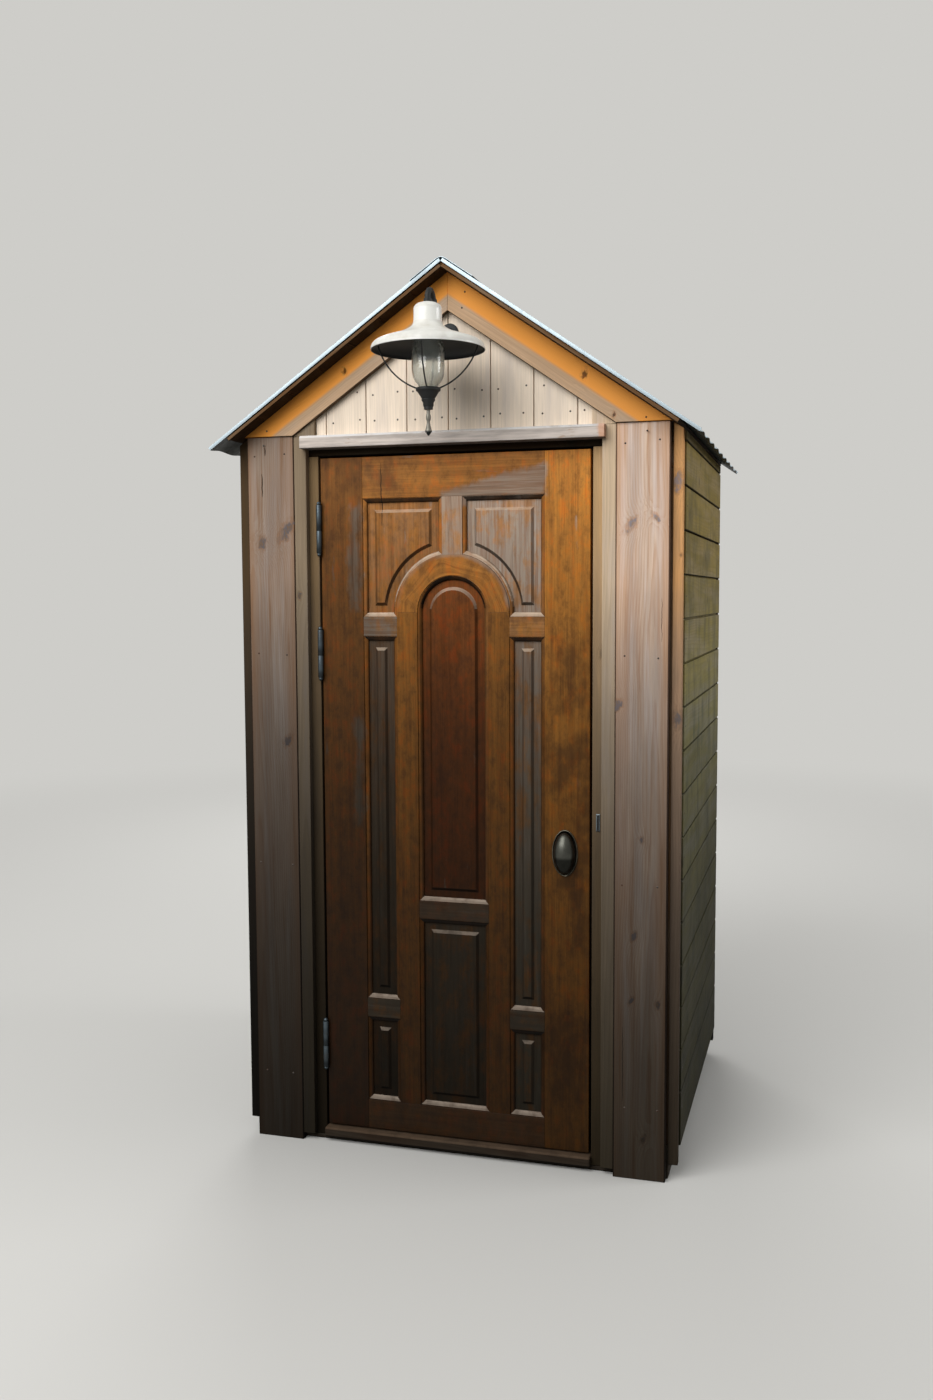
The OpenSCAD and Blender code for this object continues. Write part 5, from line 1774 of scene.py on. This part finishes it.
def lantern_stays(sizes):
    """Four bent rods from the hub's foot to the underside of the shade."""
    foot = Vector((HUB_RADIUS * 0.9, -HUB_DROP - 0.001))
    head = Vector((SHADE_RADIUS * 0.88, 0.016))
    run = head - foot
    off = math.sqrt(STAY_BEND ** 2 - (run.length / 2) ** 2) / run.length
    centre = (foot + head) / 2 + off * Vector((-run.y, run.x))
    start, end = (math.degrees(math.atan2(*reversed(spot - centre))) for spot in (foot, head))
    rods = []
    for angle in STAY_ANGLES:
        out = Vector((math.cos(math.radians(angle)), math.sin(math.radians(angle)), 0))
        hub = Vector((0, LANTERN_Y, RIM_Z)) + out * centre.x + Z * centre.y
        rods.append(tube("stay", arc(hub, STAY_BEND, start, end, 14, first=out), sizes.stay_radius))
    return join("lantern_stays", rods)


def chimney():
    """The glass, standing in the hub and reaching up into the crown."""
    low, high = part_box("lantern_glass")
    radius = (high.x - low.x) / 2
    outer = [*((radius * share, z) for share, z in GLASS_BULGE), (radius * 0.73, high.z - low.z)]
    inner = [(wide - GLASS_WALL, z) for wide, z in outer]
    curve = eased(outer, 2) + eased(inner, 2)[::-1]
    return lathed("glass_chimney", (0, LANTERN_Y, low.z), [*curve, curve[0]], steps=48)


# Steps of the making


class OUTHOUSE_OT_base(bpy.types.Operator):
    """Lays the ground timbers, the bearers, the floor boards and the threshold"""

    bl_idname = "outhouse.base"
    bl_label = "Base and Floor"

    def execute(self, context):
        sizes, tint = choices(context)
        damp = bare_wood("Ground Timber", tint.ground_dark, darker(tint.ground_dark, 0.5),
                         grey=srgb(98, 92, 80), greying=0.32, damp_shade_top=0.5)
        for node in ("side_sills", "rear_sill", "front_sill", "floor_bearers"):
            fitted(node, f"{node}_timber", 2 * sizes.soft_edge, damp, "ground_timber")
        deal = bare_wood("Floor Deal", tint.old_brown, darker(tint.old_brown, 0.6),
                         grey=srgb(140, 128, 112), greying=0.4, damp_shade_top=0.4)
        finished(floor_boards(sizes), deal, CABIN, "floor_boards", "floor_deck")
        trodden = bare_wood("Trodden Threshold", srgb(58, 42, 30), line=srgb(40, 28, 18),
                            grey=srgb(70, 62, 52), damp_shade_top=0.3, extra=trodden_top)
        fitted("threshold", "threshold_board", 3 * sizes.soft_edge, trodden, "threshold_wood",
               segments=3)
        return {"FINISHED"}


class OUTHOUSE_OT_framing(bpy.types.Operator):
    """Sets up the posts, plates, jambs, ridge beam and rafters"""

    bl_idname = "outhouse.framing"
    bl_label = "Framing"

    def execute(self, context):
        sizes, tint = choices(context)
        framing = bare_wood("Old Framing", tint.old_brown, darker(tint.old_brown, 0.55),
                            grey=srgb(136, 122, 104), greying=0.25, knot_spacing=0.24, damp_shade_top=1.0)
        for node in ("corner_posts", "wall_plates", "rear_tie_beam", "frame_head", "ridge_beam"):
            # The frame head, in the recess over the door, is darkened fully with painted shade
            look = even_look(dark=1.0) if node == "frame_head" else even_look()
            fitted(node, f"{node}_timber", sizes.soft_edge, framing, "framing", look=look)
        fitted("rafters", "rafter_timbers", sizes.soft_edge, framing, "framing", lie=slope_lie)
        planed = bare_wood("Jamb Pine", tint.jamb_tan, darker(tint.jamb_tan, 0.62),
                           grey=srgb(160, 140, 118), greying=0.28, ring_width=0.004,
                           damp_shade_reach=0.44)
        for side in ("left", "right"):
            fitted(f"{side}_jamb", f"{side}_jamb_post", sizes.soft_edge, planed, "jamb_wood",
                   look=shaded_frame)
        return {"FINISHED"}


class OUTHOUSE_OT_plank_walls(bpy.types.Operator):
    """Stacks the tongued planks of the side walls and of the rear wall"""

    bl_idname = "outhouse.plank_walls"
    bl_label = "Plank Walls"

    def execute(self, context):
        sizes, tint = choices(context)
        planks = bare_wood("Wall Planks", tint.plank_olive, darker(tint.plank_olive, 0.6),
                           grey=srgb(138, 134, 118), greying=0.3, knot_spacing=0.19, ring_strength=0.4,
                           streaks=tint.plank_dark, damp_shade_top=1.42, damp_shade_reach=0.5,
                           extra=plank_heights)
        for side in ("right", "left"):
            wall = on_side(side, plank_wall(f"{side}_wall_planks", WALL_LOW, WALL_HIGH, X, Y, sizes))
            finished(wall, planks, CABIN, "wall_planks", f"{side}_wall")
        low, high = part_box("rear_wall")
        wall = plank_wall("rear_wall_planks", low, high, Y, X, sizes)
        finished(wall, planks, CABIN, "wall_planks", "rear_wall")
        return {"FINISHED"}


class OUTHOUSE_OT_front(bpy.types.Operator):
    """Nails up the wide boards, the casings, the drip board and the corner strips"""

    bl_idname = "outhouse.front"
    bl_label = "Front Boards"

    def execute(self, context):
        sizes, tint = choices(context)
        pine = bare_wood("Front Pine", tint.pine_pale, tint.pine_line, tint.pine_grey, greying=0.32,
                         ring_width=0.0056, knots=BOARD_KNOTS, cracks=BOARD_CRACKS,
                         knot_spacing=0.9, extra=board_edges)
        for side in ("left", "right"):
            fitted(f"{side}_front_board", f"{side}_wide_board", sizes.soft_edge, pine,
                   "front_boards", look=shaded_left)
        casing = bare_wood("Casing Pine", tint.casing_tan, darker(tint.casing_tan, 0.68),
                           tint.pine_grey, greying=0.22, knot_spacing=0.9, knots=CASING_KNOTS)
        for side in ("left", "right"):
            finished(casing_boards(side, sizes), casing, CABIN, "front_boards", f"{side}_casing")
        painted = drip_board_finish("Drip Board Paint", tint)
        fitted("drip_board", "drip_board_timber", sizes.soft_edge, painted, "drip_board_paint")
        corner = bare_wood("Corner Pine", tint.strip_tan, darker(tint.strip_tan, 0.66),
                           grey=srgb(150, 130, 106), greying=0.15, knots=STRIP_STAINS, knot_spacing=0.9,
                           damp_shade_reach=0.44, damp_grey=0.5)
        fitted("corner_strips", "corner_strip_timbers", sizes.soft_edge, corner, "corner_wood",
               look=corner_look)
        return {"FINISHED"}


class OUTHOUSE_OT_gables(bpy.types.Operator):
    """Nails up the gable boards and the barge boards"""

    bl_idname = "outhouse.gables"
    bl_label = "Gable and Barge Boards"

    def execute(self, context):
        sizes, tint = choices(context)
        pale = bare_wood("Gable Pine", tint.gable_pale, darker(tint.gable_pale, 0.76),
                         grey=srgb(206, 194, 184), greying=0.2, ring_strength=0.4, knot_spacing=0.3)
        finished(gable_boards(sizes), pale, CABIN, "gable_boards", "front_gable")
        barge = barge_finish("Barge Pine", tint)
        for node in ("front_barge_boards", "rear_barge_boards"):
            finished(barge_boards(node, sizes), barge, CABIN, "barge_boards", node)
        return {"FINISHED"}


class OUTHOUSE_OT_roof(bpy.types.Operator):
    """Lays the roof boards, the corrugated sheets, the ridge cover and their screws"""

    bl_idname = "outhouse.roof"
    bl_label = "Roof"

    def execute(self, context):
        sizes, tint = choices(context)
        deal = bare_wood("Roof Deal", tint.old_brown, darker(tint.old_brown, 0.55),
                         grey=srgb(142, 128, 108), greying=0.2, knot_spacing=0.22)
        zinc = zinc_sheet("Zinc Sheet", tint)
        screw = metal("Screw Zinc", srgb(132, 134, 130), rust=srgb(92, 62, 40), metallic=0.5,
                      roughness=0.5, rusted=0.5, scale=3.0)
        for side in ("right", "left"):
            finished(roof_boards(side, sizes), deal, CABIN, "roof_boards", f"{side}_roof_boards")
            finished(roof_sheet(side, sizes), zinc, CABIN, "roof_sheet", f"{side}_roof_sheet")
            finished(roof_screws(side, sizes), screw, CABIN, "roof_sheet")
        finished(ridge_cover(sizes), zinc, CABIN, "roof_sheet", "ridge_cap")
        return {"FINISHED"}


class OUTHOUSE_OT_nails(bpy.types.Operator):
    """Drives the nails of the gable, the wide boards and the planks"""

    bl_idname = "outhouse.nails"
    bl_label = "Nails"

    def execute(self, context):
        sizes, _ = choices(context)
        steel = metal("Nail Steel", srgb(84, 78, 72), rust=srgb(82, 52, 34), metallic=0.5,
                      roughness=0.55, rusted=0.5, scale=3.0)
        finished(nails(sizes), steel, CABIN, "hinge_steel")
        return {"FINISHED"}


class OUTHOUSE_OT_door(bpy.types.Operator):
    """Joins the door: stiles, rails, arch, blocks, panels and mouldings"""

    bl_idname = "outhouse.door"
    bl_label = "Panelled Door"

    def execute(self, context):
        sizes, tint = choices(context)
        varnish = varnished_wood("Worn Varnish", tint)
        fielded = varnished_wood("Panel Varnish", tint, dust_and_highlight=0.40, dirt_and_shade=0.75)
        moulded = varnished_wood("Moulding Varnish", tint, dust_and_highlight=0.80, dirt_and_shade=0.97)
        # dark in these looks is painted shade, strongest on the hinge stile
        looks = {
            "door_hinge_stile": (varnish, even_look(worn=0.03, stain=0.3, dark=0.70)),
            "door_lock_stile": (varnish, even_look(worn=0.02)),
            "door_inner_stiles": (varnish, even_look(worn=0.02, stain=0.12, dark=0.36)),
            "door_rails": (varnish, door_part_look),
            "door_blocks": (varnish, door_part_look),
            "door_panels": (fielded, panel_look),
        }
        for node, (finish, look) in looks.items():
            fitted(node, f"{node}_wood", sizes.door_edge, finish, "door_varnish", DOOR, look=look)
        piece = timbers_of("door_mouldings", "door_moulding_wood", sizes.mould_edge,
                           look=even_look(worn=0.10, stain=0.35, dark=0.2), angle=50)
        smooth(piece)
        finished(piece, moulded, DOOR, "door_varnish", "door_mouldings")
        finished(arch_parts(sizes), varnish, DOOR, "door_varnish", "door_arch")
        return {"FINISHED"}


class OUTHOUSE_OT_door_metal(bpy.types.Operator):
    """Fits the hinges, the knob and the keep plate"""

    bl_idname = "outhouse.door_metal"
    bl_label = "Hinges and Knob"

    def execute(self, context):
        sizes, tint = choices(context)
        steel = metal("Hinge Steel", tint.hinge_grey, rust=srgb(50, 42, 36), metallic=0.7,
                      roughness=0.30, rusted=0.35, scale=2.0)
        for holder, body in (("frame", CABIN), ("door", DOOR)):
            piece = smith_work_of(f"{holder}_hinges", f"{holder}_hinge_barrels", sizes.mould_edge)
            finished(piece, steel, body, "hinge_steel", f"{holder}_hinges")
        bronze = metal("Aged Bronze", tint.bronze, rust=srgb(30, 32, 32), metallic=1.0,
                       roughness=0.33, rusted=0.25, scale=1.5)
        rubbed = metal("Rubbed Bronze", srgb(112, 106, 92), rust=srgb(40, 36, 30), metallic=0.9,
                       roughness=0.30, rusted=0.25, scale=3.0)
        finished(knob(bronze, rubbed), None, DOOR, "knob_bronze", "door_knob")
        slot = metal("Slot Shadow", srgb(18, 18, 17), rust=srgb(34, 24, 18), metallic=0.2,
                     roughness=0.70, rusted=0.35, scale=3.0)
        zinc = metal("Keep Steel", srgb(104, 112, 116), rust=srgb(80, 60, 44), metallic=0.6,
                     roughness=0.45, rusted=0.35, scale=3.0)
        finished(keep_plate(zinc, slot), None, CABIN, "hinge_steel")
        return {"FINISHED"}


class OUTHOUSE_OT_lantern(bpy.types.Operator):
    """Hangs the lantern: arm, enamelled shade, glass, hub, drop and stays"""

    bl_idname = "outhouse.lantern"
    bl_label = "Lantern"

    def execute(self, context):
        sizes, tint = choices(context)
        white = enamel("White Enamel", tint)
        iron = metal("Dark Iron", tint.iron_dark, rust=srgb(54, 38, 26), metallic=0.15,
                     roughness=0.55, rusted=0.22)
        finished(lantern_shade(white, iron), None, CABIN, "lantern_enamel", "lantern_shade")
        finished(lantern_arm(), iron, CABIN, "lantern_dark", "lantern_arm")
        finished(lantern_hub(), iron, CABIN, "lantern_dark", "lantern_frame")
        finished(lantern_stays(sizes), iron, CABIN, "lantern_dark", "lantern_frame")
        turned = drop_finish("Turned Drop", tint)
        finished(lantern_drop(), turned, CABIN, "lantern_dark", "lantern_frame")
        finished(chimney(), lamp_glass("Dusty Glass"), CABIN, "lantern_glass", "lantern_glass")
        return {"FINISHED"}


class OUTHOUSE_OT_studio(bpy.types.Operator):
    """Sets up the floor, the soft lights and the camera"""

    bl_idname = "outhouse.studio"
    bl_label = "Studio"

    def execute(self, context):
        _, tint = choices(context)
        studio_floor(tint)
        studio_light(context.scene, tint)
        studio_camera(context.scene)
        return {"FINISHED"}


STEPS = (OUTHOUSE_OT_studio, OUTHOUSE_OT_base, OUTHOUSE_OT_framing, OUTHOUSE_OT_plank_walls,
         OUTHOUSE_OT_front, OUTHOUSE_OT_gables, OUTHOUSE_OT_roof, OUTHOUSE_OT_nails,
         OUTHOUSE_OT_door, OUTHOUSE_OT_door_metal, OUTHOUSE_OT_lantern)


class OUTHOUSE_PT_steps(bpy.types.Panel):
    """Lists the steps of the making, with the sizes and the colours"""

    bl_idname = "OUTHOUSE_PT_steps"
    bl_label = "Timber Outhouse"
    bl_space_type = "VIEW_3D"
    bl_region_type = "UI"
    bl_category = "Outhouse"

    def draw(self, context):
        for step in STEPS:
            self.layout.operator(step.bl_idname)
        for group in choices(context):
            box = self.layout.box()
            for name in type(group).__annotations__:
                box.prop(group, name)


CLASSES = (OuthouseSizes, OuthouseColours, *STEPS, OUTHOUSE_PT_steps)


def register():
    for kind in CLASSES:
        bpy.utils.register_class(kind)
    bpy.types.Scene.outhouse_sizes = bpy.props.PointerProperty(type=OuthouseSizes)
    bpy.types.Scene.outhouse_colours = bpy.props.PointerProperty(type=OuthouseColours)


def unregister():
    del bpy.types.Scene.outhouse_colours
    del bpy.types.Scene.outhouse_sizes
    for kind in reversed(CLASSES):
        bpy.utils.unregister_class(kind)


def main():
    register()
    bpy.ops.outhouse.studio()
    bpy.ops.outhouse.base()
    bpy.ops.outhouse.framing()
    bpy.ops.outhouse.plank_walls()
    bpy.ops.outhouse.front()
    bpy.ops.outhouse.gables()
    bpy.ops.outhouse.roof()
    bpy.ops.outhouse.nails()
    bpy.ops.outhouse.door()
    bpy.ops.outhouse.door_metal()
    bpy.ops.outhouse.lantern()


if __name__ == "__main__":
    main()
